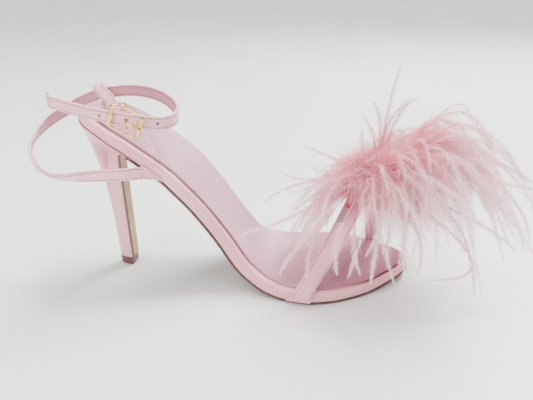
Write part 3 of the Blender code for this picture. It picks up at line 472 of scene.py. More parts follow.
def rolled(reach, drop, count):
    """Rows of a quarter round: how far in and how far down, from its crown to its side."""
    arc = np.radians(np.linspace(0.0, 90.0, count))
    return [(reach * (1.0 - math.sin(a)), drop * (1.0 - math.cos(a))) for a in arc]


def make_board():
    """Wrapped board with a dished top, a soft rounded rim and a pressed foot."""
    rim = [(SOCK_INSET, 0.0, None)]
    rim += [(step_in, down, None) for step_in, down in rolled(RIM_TOP_REACH, RIM_TOP_DROP, 8)]
    foot = rolled(RIM_FOOT_RADIUS, RIM_FOOT_RADIUS, 8)[::2]
    rim += [(step_in, None, up) for up, step_in in foot]
    grid = plate(full_outline(), board_lift, lambda flat: np.zeros(len(flat)), rim)
    return skin("insole_board_wrap", grid)


wrap_leather = smooth_leather(
    "pink_wrap_leather", tone(246, 183, 193), tone(234, 161, 174), 0.33, 0.16
)
settle(make_board(), wrap_leather, "wrap", "insole_board")


# Sock lining: a thin mauve pink leather sheet over the board, cut a little smaller than it and
# cemented down. Its edge is pressed into a narrow groove.
SOCK_THICK = 1.2 * MM
SOCK_EDGE_REACH = 1.1 * MM
SOCK_EDGE_DROP = 0.9 * SOCK_THICK
SOCK_NAP = (0.25, 1.0, 0.25)


def sock_finish():
    """Satin leather with a faint lengthwise nap, darker from the ball to the toes."""
    finish, tree = blank_finish("mauve_sock_leather", Coat_Weight=0.10, Coat_Roughness=0.3)
    nap = patches(tree, 900.0, 0.0, 0.5, 4.0, SOCK_NAP)
    amount = total(tree, nap, patches(tree, 24.0, 0.0, 0.5), use_clamp=True)
    colour = blend(tree, amount, tone(199, 150, 163), tone(178, 129, 144))
    along = add(tree, "SeparateXYZ", {0: add(tree, "TexCoord").outputs["Object"]}).outputs["X"]
    # The colour grows darker along X from the ball to the toes.
    toe_deepening = fade(tree, along, 85.0 * MM, 150.0 * MM, 0.0, 0.75)
    colour = blend(tree, toe_deepening, colour, tone(164, 104, 119))
    height = total(tree, nap, patches(tree, 160.0, 0.0, 1.0, 6.0, SOCK_NAP))
    return cover(finish, colour, (90.0, 0.34, 0.46), height, 0.16, 0.15 * MM)


def make_sock():
    """Sheet that follows the dished board, with a rolled edge."""
    edge = rolled(SOCK_EDGE_REACH, SOCK_EDGE_DROP, 6)
    rim = [(SOCK_INSET + step_in, down, None) for step_in, down in edge]
    rim.append((SOCK_INSET, None, 0.0))
    grid = plate(
        full_outline(),
        lambda flat: board_lift(flat) + GAP + SOCK_THICK,
        lambda flat: board_lift(flat) + GAP,
        rim,
        rows=9,
    )
    return skin("sock_lining_sheet", grid)


settle(make_sock(), sock_finish(), "sock", "sock_lining")


# Outsole: a thin leather sole cemented under the board, from the heel's breast to the toe. Its
# trimmed edge is stained brown, and its face is sanded tan.
BREAST_SHARE = 0.19
WING_LAP = 2.6 * MM
BREAST_MARGIN = 6.0 * MM
OUTSOLE_INSET = 0.3 * MM
OUTSOLE_EASE = 0.15 * MM


def outsole_finish():
    """Stained edge and a tan face with short scuffs along the walking direction."""
    finish, tree = blank_finish("brown_outsole_leather")
    facing = add(tree, "NewGeometry").outputs["True Normal"]
    upward = add(tree, "SeparateXYZ", {0: facing}).outputs["Z"]
    scuff = patches(tree, 420.0, 0.0, 1.0, 5.0, (0.2, 1.0, 1.0))
    tan = blend(tree, scuff, tone(150, 122, 98), tone(128, 102, 82))
    edge = blend(tree, patches(tree, 300.0, 0.0, 1.0), tone(100, 80, 66), tone(78, 60, 50))
    colour = blend(tree, fade(tree, upward, -0.35, -0.6), edge, tan)
    return cover(finish, colour, (200.0, 0.45, 0.65), scuff, 0.25)


def make_outsole():
    """Thin plate ahead of a straight edge at the heel's breast, with eased edges."""
    back = BREAST_SHARE - WING_LAP / SHOE_LENGTH
    rim_share = rim_shares()
    edge = np.linspace(0.0, 1.0, 12)
    share = np.concatenate([np.full(len(edge), back), rim_share[rim_share > back + 0.004]])
    across = np.concatenate([edge, np.ones(len(share) - len(edge))])
    ring = np.concatenate([plan(share, -across), plan(share[::-1], across[::-1])[:-1]])
    ring = np.concatenate([ring, ring[:1]])
    rim = [
        (OUTSOLE_INSET + OUTSOLE_EASE, 0.0, None),
        (OUTSOLE_INSET, OUTSOLE_EASE, None),
        (OUTSOLE_INSET, None, 0.4 * MM),
        (OUTSOLE_INSET + OUTSOLE_EASE, None, 0.12 * MM),
        (OUTSOLE_INSET + 0.5 * MM, None, 0.0),
    ]
    grid = plate(
        ring,
        lambda flat: np.full(len(flat), -GAP),
        lambda flat: np.full(len(flat), -GAP - OUTSOLE_THICK),
        rim,
        BREAST_MARGIN,
    )
    return skin("outsole_plate", grid)


settle(make_outsole(), outsole_finish(), "outsole", "outsole")


# Heel: a slim moulded stiletto wrapped in the board's pink leather, with a wide seat that is
# screwed up under the board. Its back is long and straight.
TIP_LENGTH = 9.6 * MM
TIP_WIDTH = 9.4 * MM
TIP_GROWTH = 0.18
TOP_PIECE_THICK = 5.5 * MM
FLARE_BACK = 3.0
FLARE_FRONT = 45.0
HEEL_SIDE_POINTS = 120
HEEL_FRONT_POINTS = 28
HEEL_ROWS = 96
HEEL_CROWDING = 2.4
SEAM_RADIUS = 0.24 * MM


def heel_lines():
    """Top and tip of the heel's upright lines, and how fast each one draws in."""
    front = np.arange(HEEL_FRONT_POINTS // 2) / (HEEL_FRONT_POINTS // 2)
    turn = (np.arange(HEEL_SIDE_POINTS // 2) + 1.0) / (HEEL_SIDE_POINTS // 2 + 0.5)
    share = np.concatenate(
        [np.full(len(front), BREAST_SHARE), BREAST_SHARE * 0.5 * (1.0 + np.cos(turn * math.pi))]
    )
    across = np.concatenate([front, np.ones(len(turn))])
    ring = np.concatenate([plan(share, -across), plan(share[::-1], across[::-1])])
    ring = inset(ring, 0.25 * MM)
    top = on_last(ring, np.full(len(ring), -GAP))
    half_turn = turn * math.pi / 2.0
    x = np.concatenate([np.zeros(len(front)), -np.sin(half_turn)]) * TIP_LENGTH + TIP_LENGTH / 2.0
    y = -np.concatenate([front, np.cos(half_turn)]) * TIP_WIDTH / 2.0
    tip = np.concatenate([np.stack([x, y], 1), np.stack([x[::-1], -y[::-1]], 1)])
    reach = (ring[:, 0] - ring[:, 0].min()) / (ring[:, 0].max() - ring[:, 0].min())
    flare = FLARE_BACK + (FLARE_FRONT - FLARE_BACK) * reach ** 3
    return top, tip, flare


def heel_row(top, tip, flare, drop):
    """Points of the heel's lines from their tops at drop 0 to their tips at drop 1.

    A point lies between the grown tip outline and the seat outline, by (1 - drop) to the
    power of the line's flare, and sinks evenly.
    """
    base = TOP_PIECE_THICK + GAP
    grown = tip * (1.0 + TIP_GROWTH * (1.0 - drop))
    draw = ((1.0 - drop) ** flare)[:, None]
    flat = grown + (top[:, :2] - grown) * draw
    height = top[:, 2] + (base - top[:, 2]) * drop
    return np.concatenate([flat, height[:, None]], 1)


def make_heel():
    """Closed stiletto: the heel's rows with their middles as poles."""
    top, tip, flare = heel_lines()
    drops = np.linspace(0.0, 1.0, HEEL_ROWS) ** HEEL_CROWDING
    rows = [heel_row(top, tip, flare, drop) for drop in drops]
    foot = rows[-1].copy()
    foot[:, :2] = foot[:, :2] * 0.965
    foot[:, 2] = foot[:, 2] - 0.12 * MM
    rows.append(foot)
    rows.insert(0, np.tile(rows[0].mean(0) - [0.0, 0.0, 1.5 * MM], (len(top), 1)))
    rows.append(np.tile(foot.mean(0), (len(top), 1)))
    return skin("heel_cover", np.array(rows), crease=50.0)


def wire(name, path, radius, flat=1.0, side=(0.0, 0.0, 1.0), closed=False, points=12):
    """Rod: an ellipse carried along a path. radius is one value or one for each point.

    flat is the section's height as a share of its width, and side the direction of that height.
    """
    if closed:
        tangent = unit(np.roll(path, -1, 0) - np.roll(path, 1, 0))
        path, tangent = [np.concatenate([rows, rows[:1]]) for rows in (path, tangent)]
    else:
        tangent = unit(np.gradient(path, axis=0))
    wide = unit(np.cross(tangent, np.broadcast_to(side, path.shape)))
    high = unit(np.cross(wide, tangent))
    radius = np.broadcast_to(radius, len(path)).astype(float)
    if not closed:
        path, wide, high = [np.pad(rows, ((1, 1), (0, 0)), "edge") for rows in (path, wide, high)]
        radius = np.pad(radius, 1)
    turn = np.linspace(0.0, 2.0 * math.pi, points + 1)[:, None]
    radius = radius[:, None, None]
    grid = path[:, None] + wide[:, None] * (radius * np.cos(turn))
    grid = grid + high[:, None] * (radius * np.sin(turn) * flat)
    return skin(name, grid, crease=50.0)


def make_heel_seam():
    """Bead of cement and folded leather round the joint between the heel's seat and the board."""
    top = heel_lines()[0]
    seat = top[HEEL_FRONT_POINTS // 2 : -HEEL_FRONT_POINTS // 2]
    seat = seat + (seat.mean(0) - seat) * 0.008
    return wire("heel_seat_seam", seat + [0.0, 0.0, 0.16 * MM], SEAM_RADIUS, points=8)


settle(make_heel(), wrap_leather, "wrap", "heel")
seam_leather = smooth_leather(
    "deep_pink_seam", tone(216, 118, 142), tone(196, 96, 122), 0.45, 0.05
)
settle(make_heel_seam(), seam_leather, "wrap")


# Heel breast: a thin tan flap of sole leather down the heel's front face. Its edges are stained
# darker, and its top runs under the wing to the outsole.
FLAP_THICK = 0.8 * MM
FLAP_TRIM = 0.96
FLAP_EASE = 0.25 * MM
FLAP_ROWS = 70


def breast_finish():
    """Tan leather with a fine lengthwise grain and darker stained edges."""
    finish, tree = blank_finish("tan_breast_leather")
    grain = patches(tree, 700.0, 0.0, 1.0, 5.0, (1.0, 1.0, 0.2))
    face = blend(tree, grain, tone(190, 152, 108), tone(166, 130, 92))
    stain = fade(tree, mark_of(tree, "margin"), 0.86, 0.95, 0.0, 0.85)
    colour = blend(tree, stain, face, tone(104, 80, 66))
    return cover(finish, colour, (150.0, 0.42, 0.58), grain, 0.2)


def make_breast():
    """Flap that follows the heel's front lines, a gap and its own thickness away from them."""
    top, tip, flare = heel_lines()
    count = HEEL_FRONT_POINTS // 2
    picked = np.concatenate([np.arange(count)[::-1], len(top) - 2 - np.arange(count - 1)])
    drops = np.linspace(0.02, 1.0, FLAP_ROWS) ** 1.9 * 0.992 + 0.003
    lines = np.array([heel_row(top[picked], tip[picked], flare[picked], drop) for drop in drops])
    middle = lines.mean(1, keepdims=True)
    lines = middle + (lines - middle) * [1.0, FLAP_TRIM, 1.0]
    out = unit(np.cross(np.gradient(lines, axis=1), np.gradient(lines, axis=0)))
    out = out * np.sign(out[-1, count, 0])
    margin = np.abs(np.linspace(-1.0, 1.0, lines.shape[1]))
    ease = FLAP_EASE * np.clip((margin - 0.9) / 0.1, 0.0, 1.0) ** 2
    outer = lines + out * (GAP + FLAP_THICK - ease[:, None])
    inner = lines + out * GAP
    grid = np.concatenate([outer, inner[:, ::-1], outer[:, :1]], 1)
    poles = np.repeat(grid[[0, -1]].mean(1, keepdims=True), grid.shape[1], 1)
    grid = np.concatenate([poles[:1], grid, poles[1:]])
    marks = np.concatenate([margin, np.ones(len(margin)), margin[:1]])
    return skin("heel_breast_flap", grid, {"margin": marks})


settle(make_breast(), breast_finish(), "breast", "heel_breast")


# Top piece: the hard brown plastic tread under the stiletto, pinned into its tip. It is worn a
# little shiny on its edge.
TOP_PIECE_BEVEL = 0.5 * MM
TOP_PIECE_SPREAD = 1.03


def tread_finish():
    """Brown moulded plastic with a fine tooth."""
    finish, tree = blank_finish("brown_top_piece_plastic")
    speck = patches(tree, 1500.0, 0.0, 1.0)
    colour = blend(tree, speck, tone(112, 72, 66), tone(86, 54, 50))
    return cover(finish, colour, (500.0, 0.42, 0.6), speck, 0.2)


def make_top_piece():
    """The tip's outline carried up through two eased edges, closed at two poles."""
    tip = heel_lines()[1] * TOP_PIECE_SPREAD
    edge = rolled(TOP_PIECE_BEVEL / TIP_LENGTH * 2.0, TOP_PIECE_BEVEL, 5)
    steps = [(0.0, 0.0)] + [(1.0 - drawn, up) for drawn, up in edge]
    steps += [(1.0 - drawn, TOP_PIECE_THICK - down) for drawn, down in edge[::-1]]
    steps.append((0.0, TOP_PIECE_THICK))
    scale, height = np.array(steps).T[..., None, None]
    flat = tip * scale
    grid = np.concatenate([flat, np.broadcast_to(height, (*flat.shape[:2], 1))], 2)
    return skin("top_piece_tread", grid, crease=30.0)


settle(make_top_piece(), tread_finish(), "top_piece", "top_piece")


# Toe strap: one pink leather band over the toes, folded over its lining and stitched along both
# edges. Its ends are lasted under the board, and a white thread tacks the feathers down.
TOE_STRAP_WIDTH = 10.8 * MM
TOE_STRAP_THICK = 1.3 * MM
TOE_TUCK_OUTER = (0.662, True, math.radians(52.0))
TOE_TUCK_INNER = (0.896, False, math.radians(84.0))
STRAP_BEND = 1.1 * MM
STRAP_TUCK = 4.0 * MM
TUCK_START = {1: -0.4, -1: 0.3}
STITCH_INSET = 1.05 * MM
STITCH_SINK = 0.04 * MM
STITCH_PITCH = 2.1 * MM
STITCH_LENGTH = 1.5 * MM
THREAD_RADIUS = 0.24 * MM
SECTION_POINTS = 44
SECTION_POWER = 0.42
GROOVE_DEPTH = 0.10 * MM
GROOVE_WIDTH = 0.35 * MM
LINING_SINK = 0.08 * MM
END_STEP = 0.12 * MM
END_SCALE = 0.93
CURVE_POINTS = 2400
TACK_PLACE = np.array([139.4, -15.4, 40.6]) * MM
TACK_TURNS = 13
TACK_PITCH = 0.8 * MM
TACK_SWING = 1.4 * MM

Strap = namedtuple("Strap", "path facing width thick")
Fold = namedtuple("Fold", "along across up edge_x edge_y edge_z")
TOE_STRAP_RUN = [
    Fold(0.695, -0.484, 0.140, 0.80, 0.20, -0.55),
    Fold(0.714, -0.438, 0.205, 0.83, 0.20, -0.52),
    Fold(0.741, -0.360, 0.278, 0.88, 0.12, -0.42),
    Fold(0.771, -0.255, 0.362, 0.92, 0.00, -0.34),
    Fold(0.801, -0.125, 0.450, 0.94, -0.15, -0.24),
    Fold(0.826, 0.035, 0.502, 0.94, -0.28, -0.10),
    Fold(0.850, 0.185, 0.490, 0.93, -0.35, 0.05),
    Fold(0.872, 0.310, 0.420, 0.95, -0.28, 0.08),
    Fold(0.888, 0.395, 0.315, 0.98, -0.18, 0.08),
    Fold(0.897, 0.440, 0.210, 0.99, -0.15, 0.03),
]


def fold_points(run):
    """Places of a run of folds, with their edge directions turned square to the run."""
    places = np.array([(row.along, row.across, row.up) for row in run])
    places = places * np.array([SHOE_LENGTH, BALL_WIDTH, SEAT_RISE])
    places = places + np.array([-HEEL_OVERHANG, 0.0, OUTSOLE_THICK + GAP])
    edges = np.array([(row.edge_x, row.edge_y, row.edge_z) for row in run])
    along = unit(np.gradient(places, axis=0))
    return places, unit(edges - along * np.sum(edges * along, 1, keepdims=True))


def edge_frame(share, lateral):
    """Place on the board's lower rim, with the directions to the toe, outward and up."""
    side = -1.0 if lateral else 1.0
    shares = share + np.array([-0.004, 0.0, 0.004])
    points = on_last(plan(shares, np.full(3, side)), np.zeros(3))
    toward_toe = unit(points[2] - points[0])
    up = np.array([-np.interp(share, GRID_SHARE, GRID_SLOPE), 0.0, 1.0])
    up = unit(up - toward_toe * np.dot(up, toward_toe))
    return points[1], toward_toe, np.cross(toward_toe, up) * (1.0 if lateral else -1.0), up


def tuck(share, lateral, lean, width, thick, turn):
    """Strap end between board and outsole, bent up over the board or down past the outsole."""
    origin, toward_toe, outward, up = edge_frame(share, lateral)
    start = GAP + STRAP_BEND * TUCK_START[turn]
    quarter = STRAP_BEND * math.pi / 2.0
    places, edges = [], []
    for depth in (-STRAP_TUCK * math.sin(lean), -STRAP_TUCK * 0.4 * math.sin(lean), 0.0):
        middle = origin + toward_toe * depth / math.tan(lean) + outward * (start + depth)
        side = toward_toe * width / 2.0 / math.sin(lean)
        ends = on_last(np.array([middle + side, middle - side])[:, :2], thick / 2.0)
        places.append(ends.mean(0))
        edges.append(unit(turn * (ends[0] - ends[1])))
    for depth in (quarter * 0.25, quarter * 0.5, quarter * 0.75, quarter, quarter + 1.5 * MM):
        bend = min(depth, quarter) / STRAP_BEND
        out = start + STRAP_BEND * math.sin(bend)
        lift = STRAP_BEND * (1.0 - math.cos(bend)) + max(depth - quarter, 0.0)
        flat = origin + toward_toe * depth / math.tan(lean)
        places.append(flat + outward * out + up * (thick / 2.0 + turn * lift))
        edges.append(turn * toward_toe)
    return np.array(places), np.array(edges)


def lengths_along(path):
    """Distance of each point of a path from its start."""
    return np.concatenate([[0.0], np.cumsum(np.linalg.norm(np.diff(path, axis=0), axis=1))])


def read_at(marks, far, rows):
    """Rows read at marks, in straight lines between the rows that lie at the distances far."""
    return np.stack([np.interp(marks, far, rows[:, k]) for k in range(3)], -1)


def smooth_path(places, edges, spacing, crowding=1.05):
    """Points along a soft cubic through the places, closer together where it bends."""
    gaps = np.linalg.norm(np.diff(places, axis=0), axis=1)
    marks = np.concatenate([[0.0], np.cumsum(np.sqrt(gaps))])
    slopes = np.gradient(places, marks, axis=0)
    fine = np.linspace(0.0, marks[-1], CURVE_POINTS)
    row = np.clip(np.searchsorted(marks, fine, side="right") - 1, 0, len(places) - 2)
    step = (marks[row + 1] - marks[row])[:, None]
    t = (fine - marks[row])[:, None] / step
    curve = cubic(places[row], places[row + 1], slopes[row], slopes[row + 1], step, t)
    ease = t ** 2 * (3.0 - 2.0 * t)
    facing = edges[row] * (1.0 - ease) + edges[row + 1] * ease
    length = lengths_along(curve)
    turning = np.gradient(np.gradient(curve, length, axis=0), length, axis=0)
    turning = np.minimum(np.linalg.norm(turning, axis=1), 1.0 / MM)
    density = 1.0 / spacing + turning * crowding
    count = 0.5 * (density[1:] + density[:-1]) * np.diff(length)
    mileage = np.concatenate([[0.0], np.cumsum(count)])
    marks = np.linspace(0.0, mileage[-1], int(round(mileage[-1])) + 1)
    return read_at(marks, mileage, curve), read_at(marks, mileage, facing)


def lay_strap(width, thick, spacing, *parts):
    """Strap along the parts of its run, each given by its places and edge directions."""
    places, edges = [np.concatenate(rows) for rows in zip(*parts)]
    return Strap(*smooth_path(places, edges, spacing), width, thick)


def strap_frames(strap):
    """Tangent, edge direction and face direction along a strap."""
    tangent, edge = unit(np.gradient(strap.path, axis=0)), unit(strap.facing)
    return tangent, edge, unit(np.cross(tangent, edge))


def band(name, strap, outer):
    """Strap: a rounded section with pressed stitch lines, carried along the strap's path.

    The section is a squared ellipse. The lining lies inside the turned edges, a little lower.
    outer is 1 or -1, the side of the frames that the leather faces.
    """
    tangent, edge, face = strap_frames(strap)
    sine = np.maximum(np.linalg.norm(np.cross(tangent, edge), axis=1), 0.5)
    turn = np.linspace(0.0, 2.0 * math.pi, SECTION_POINTS + 1)
    across, out = [
        np.sign(wave) * np.abs(wave) ** SECTION_POWER for wave in (np.cos(turn), np.sin(turn))
    ]
    line = 1.0 - 2.0 * STITCH_INSET / strap.width
    beside = (np.abs(across) - line) * strap.width / 2.0 / GROOVE_WIDTH
    groove = GROOVE_DEPTH * np.exp(-(beside ** 2)) * (np.abs(out) > 0.8)
    lining = ((out < -0.8) & (np.abs(across) < 0.80)).astype(float)
    deep = out * strap.thick / 2.0 - np.sign(out) * groove + lining * LINING_SINK
    start = strap.path[:1] - tangent[:1] * END_STEP
    stop = strap.path[-1:] + tangent[-1:] * END_STEP
    rows = np.concatenate([start, start, strap.path, stop, stop])
    scale = np.concatenate([[0.0, END_SCALE], np.ones(len(strap.path)), [END_SCALE, 0.0]])
    scale = scale[:, None]
    edge, face = [np.pad(ways, ((2, 2), (0, 0)), "edge") for ways in (edge, face * outer)]
    wide = strap.width / 2.0 / np.pad(sine, 2, "edge")[:, None] * scale * across
    grid = rows[:, None] + edge[:, None] * wide[..., None]
    grid = grid + face[:, None] * (scale * deep)[..., None]
    return skin(name, grid, {"lining": lining}, crease=60.0)


def tube_faces(shape):
    """Index of the points of (tube, ring, point) and the quads between the closed rings."""
    index = np.arange(np.prod(shape)).reshape(shape)
    after = np.roll(index, -1, 2)
    quads = np.stack([index[:, :-1], after[:, :-1], after[:, 1:], index[:, 1:]], -1)
    return index, quads.reshape(-1, 4).tolist()


def beads(name, places, frames):
    """Stitches: a long rounded bead at each place, turned by its frame of three directions.

    A bead has five rings of six points, the first and last of them nearly a point.
    """
    along = np.array([-1.0, -0.75, 0.0, 0.75, 1.0])
    swell = np.array([0.02, 0.75, 1.0, 0.75, 0.02])
    turn = np.arange(6) / 6.0 * 2.0 * math.pi
    ring = np.stack([np.zeros(6), np.cos(turn), np.sin(turn)], 1)
    bead = ring * swell[:, None, None] * THREAD_RADIUS
    bead[..., 0] = along[:, None] * STITCH_LENGTH / 2.0
    points = places[:, None, None] + np.einsum("rkc,ncd->nrkd", bead, frames)
    piece = raw_mesh(name, points, tube_faces(points.shape[:3])[1])
    piece.data.shade_smooth()
    return piece


def stitch_rows(name, strap, start, stop):
    """Thread beads along both edges of a strap, on its face and on its lining."""
    far = lengths_along(strap.path)
    marks = np.arange(start, far[-1] - stop, STITCH_PITCH)
    middle = read_at(marks, far, strap.path)
    along, side, out = [unit(read_at(marks, far, rows)) for rows in strap_frames(strap)]
    sine = np.maximum(np.linalg.norm(np.cross(along, side), axis=1, keepdims=True), 0.5)
    reach = side * (strap.width / 2.0 - STITCH_INSET) / sine
    rise = out * (strap.thick / 2.0 - STITCH_SINK)
    places = [middle + reach * u + rise * v for u in (-1.0, 1.0) for v in (-1.0, 1.0)]
    frames = np.tile(np.stack([along, np.cross(out, along), out], 1), (4, 1, 1))
    return beads(name, np.concatenate(places), frames)


def thread_finish(name, light, deep):
    """Twisted polyester thread: two tones in a fine noise, with a soft gloss."""
    finish, tree = blank_finish(name)
    twist = patches(tree, 2600.0, 0.0, 1.0)
    return cover(finish, blend(tree, twist, light, deep), (900.0, 0.45, 0.6))


outer_end, inner_end = [
    tuck(*place, TOE_STRAP_WIDTH, TOE_STRAP_THICK, 1) for place in (TOE_TUCK_OUTER, TOE_TUCK_INNER)
]
inner_end = [rows[::-1] for rows in inner_end]
toe = lay_strap(
    TOE_STRAP_WIDTH, TOE_STRAP_THICK, 1.1 * MM, outer_end, fold_points(TOE_STRAP_RUN), inner_end
)
strap_finish = smooth_leather(
    "pink_strap_leather", tone(250, 192, 202), tone(240, 169, 182), 0.34, 0.12, tone(196, 140, 150)
)
mauve_thread = thread_finish("mauve_thread", tone(158, 76, 98), tone(132, 58, 80))
settle(band("toe_strap_band", toe, -1), strap_finish, "strap", "toe_strap")
settle(stitch_rows("toe_strap_stitches", toe, 9.0 * MM, 9.0 * MM), mauve_thread, "strap")


def tack_spots(rows):
    """Places of (along, across, outward) rows, measured on the toe strap from the tack's place."""
    far = lengths_along(toe.path)
    start = far[np.argmin(np.linalg.norm(toe.path - TACK_PLACE, axis=1))]
    middle, side, out = [
        read_at(start + rows[:, 0], far, ways) for ways in (toe.path, *strap_frames(toe)[1:])
    ]
    return middle + unit(side) * rows[:, 1:2] - unit(out) * rows[:, 2:]


def make_tack(name, first_side, height, radius):
    """Zigzag thread over the strap's face, one pitch along the strap at each turn. It draws both
    the white tacking thread and the mauve painted shadow under it.
    """
    step = np.arange(TACK_TURNS)
    along = step * TACK_PITCH + 3.0 * MM
    across = TACK_SWING * first_side * (-1.0) ** step + (0.05 * step - 2.7) * MM
    out = np.full(TACK_TURNS, TOE_STRAP_THICK / 2.0 + height)
    return wire(name, tack_spots(np.stack([along, across, out], 1)), radius)


def make_tack_knot():
    """Knot of the tacking thread: a trefoil, cos and sin of the turn with a threefold wave."""
    turn = np.linspace(0.0, 2.0 * math.pi, 61)[:-1]
    along = (np.sin(turn) + 2.0 * np.sin(2.0 * turn)) * 0.48 + 15.0
    across = (np.cos(turn) - 2.0 * np.cos(2.0 * turn)) * 0.48 - 2.7
    out = -np.sin(3.0 * turn) * 0.4 + 0.6
    rows = np.stack([along, across, out], 1) * MM + [0.0, 0.0, TOE_STRAP_THICK / 2.0]
    return wire("feather_tack_knot", tack_spots(rows), 0.46 * MM, closed=True)


white_thread = thread_finish("white_thread", tone(246, 240, 240), tone(222, 210, 212))
magenta_thread = thread_finish("magenta_thread", tone(196, 62, 108), tone(160, 40, 86))
settle(make_tack("feather_tack_thread", 1.0, 0.5 * MM, 0.34 * MM), white_thread, "strap")
# The mauve zigzag crossing under the white thread is painted shadow. It darkens the strap between
# the white thread's turns.
settle(make_tack("feather_tack_painted_shadow_thread", -1.0, 0.1 * MM, 0.36 * MM), mauve_thread, "strap")
settle(make_tack_knot(), magenta_thread, "strap")


# Long ankle strap: a narrow pink leather strap from the outer arch round the ankle. It lies in
# a loose loop, and its free end runs back through the buckle.
ANKLE_STRAP_WIDTH = 7.0 * MM
ANKLE_STRAP_THICK = 1.8 * MM
ARCH_TUCK_OUTER = (0.245, True, math.radians(142.0))
ARCH_TUCK_INNER = (0.245, False, math.radians(140.0))
BUCKLE_PLACE = 0.846
HOLE_SPACING = 15.5 * MM
HOLE_RADIUS = 0.85 * MM
PRONG_HOLE_RADIUS = 1.15 * MM
BAR_OFFSET = -1.7 * MM
BUCKLE_BAR = 0.8 * MM
PRONG_WIRE = 0.6 * MM
HOOK_RADIUS = BUCKLE_BAR + GAP + PRONG_WIRE

ANKLE_STRAP_RUN = [
    Fold(0.182, -0.415, 0.756, 0.00, 0.00, 1.00),
    Fold(0.120, -0.413, 0.745, 0.02, -0.08, 1.00),
    Fold(0.053, -0.375, 0.720, 0.12, -0.32, 0.94),
    Fold(-0.018, -0.321, 0.692, 0.38, -0.68, 0.62),
    Fold(-0.090, -0.254, 0.684, 0.50, -0.78, 0.38),
    Fold(-0.141, -0.174, 0.713, 0.55, -0.78, 0.20),
    Fold(-0.172, -0.094, 0.782, 0.52, -0.80, 0.22),
    Fold(-0.174, -0.007, 0.835, 0.42, -0.82, 0.36),
    Fold(-0.163, 0.080, 0.882, 0.10, -0.72, 0.66),
    Fold(-0.143, 0.161, 0.926, -0.18, -0.45, 0.87),
    Fold(-0.114, 0.235, 0.962, -0.20, -0.25, 0.94),
    Fold(-0.070, 0.321, 1.010, -0.12, -0.05, 0.99),
    Fold(-0.005, 0.375, 1.057, -0.03, 0.05, 1.00),
    Fold(0.086, 0.348, 1.087, 0.05, 0.10, 1.00),
    Fold(0.173, 0.228, 1.102, 0.10, 0.08, 1.00),
    Fold(0.236, 0.107, 1.098, 0.14, 0.04, 1.00),
    Fold(0.283, -0.013, 1.080, 0.16, 0.00, 1.00),
    Fold(0.312, -0.134, 1.060, 0.12, -0.04, 1.00),
    Fold(0.320, -0.255, 1.046, 0.06, -0.08, 1.00),
    Fold(0.301, -0.365, 1.044, 0.00, -0.12, 1.00),
    Fold(0.263, -0.425, 1.058, 0.00, -0.12, 1.00),
    Fold(0.224, -0.442, 1.071, 0.00, -0.12, 1.00),
    Fold(0.178, -0.430, 1.080, 0.00, -0.10, 1.00),
    Fold(0.130, -0.402, 1.088, 0.00, -0.08, 1.00),
    Fold(0.050, -0.348, 1.107, 0.00, -0.06, 1.00),
    Fold(-0.029, -0.295, 1.134, 0.02, -0.05, 1.00),
]


def buckle_axes(shift=0.0):
    """Middle of the buckle on the long strap, with its directions along, across and outward."""
    far = lengths_along(ankle.path)
    mark = BUCKLE_PLACE * far[-1] + shift
    spot, back, across = [
        read_at(mark, far, rows) for rows in (ankle.path, *strap_frames(ankle)[:2])
    ]
    along = -unit(back)
    across = unit(across - along * np.dot(across, along))
    return spot, along, across, np.cross(along, across)


def buckle_points(rows, shift=0.0):
    """World places of (along, across, outward) rows measured from the buckle's middle."""
    spot, along, across, outward = buckle_axes(shift)
    rows = np.asarray(rows, float)
    return spot + rows[:, :1] * along + rows[:, 1:2] * across + rows[:, 2:] * outward


def punch(piece, tool):
    """Cut one mesh with another and keep the result in the mesh."""
    step = piece.modifiers.new("hole", "BOOLEAN")
    step.operation = "DIFFERENCE"
    step.object = tool
    step.solver = "EXACT"
    bpy.context.view_layer.update()
    evaluated = piece.evaluated_get(bpy.context.evaluated_depsgraph_get())
    cut = bpy.data.meshes.new_from_object(evaluated)
    piece.modifiers.clear()
    cut.shade_smooth()
    cut.set_sharp_from_angle(angle=math.radians(32.0))
    piece.data = cut
    bpy.data.objects.remove(tool)


def hole_rod(name, hole, depths, radius):
    """Round rod through the strap, a number of holes away from the buckle."""
    rows = [(BAR_OFFSET + HOOK_RADIUS, 0.0, deep * MM) for deep in depths]
    path = buckle_points(rows, hole * HOLE_SPACING)
    return wire(name, path, radius, side=buckle_axes()[2], points=20)


arch_end = tuck(*ARCH_TUCK_OUTER, ANKLE_STRAP_WIDTH, ANKLE_STRAP_THICK, -1)
ankle = lay_strap(
    ANKLE_STRAP_WIDTH, ANKLE_STRAP_THICK, 1.2 * MM, arch_end, fold_points(ANKLE_STRAP_RUN)
)
ankle_strap = band("ankle_strap_long_band", ankle, -1)
# Dark mauve plugs inside the two outer holes are painted shade. They stand in for the dark seen
# through each hole.
hole_shade_finish = smooth_leather("painted_hole_shade", tone(142, 92, 104), tone(112, 66, 80), 0.7, 0.3)
for hole in (-1, 0, 1):
    radius = HOLE_RADIUS if hole else PRONG_HOLE_RADIUS
    punch(ankle_strap, hole_rod("drill", hole, (-2.2, -1.0, 1.0, 2.2), radius))
    if hole:
        core = hole_rod("painted_shade_hole_plug", hole, (-0.55, 0.0, 0.55), HOLE_RADIUS * 1.02)
        settle(core, hole_shade_finish, "strap")
settle(ankle_strap, strap_finish, "strap", "ankle_strap_long")
ankle_stitches = stitch_rows("ankle_strap_long_stitches", ankle, 6.0 * MM, 1.5 * MM)
settle(ankle_stitches, mauve_thread, "strap")


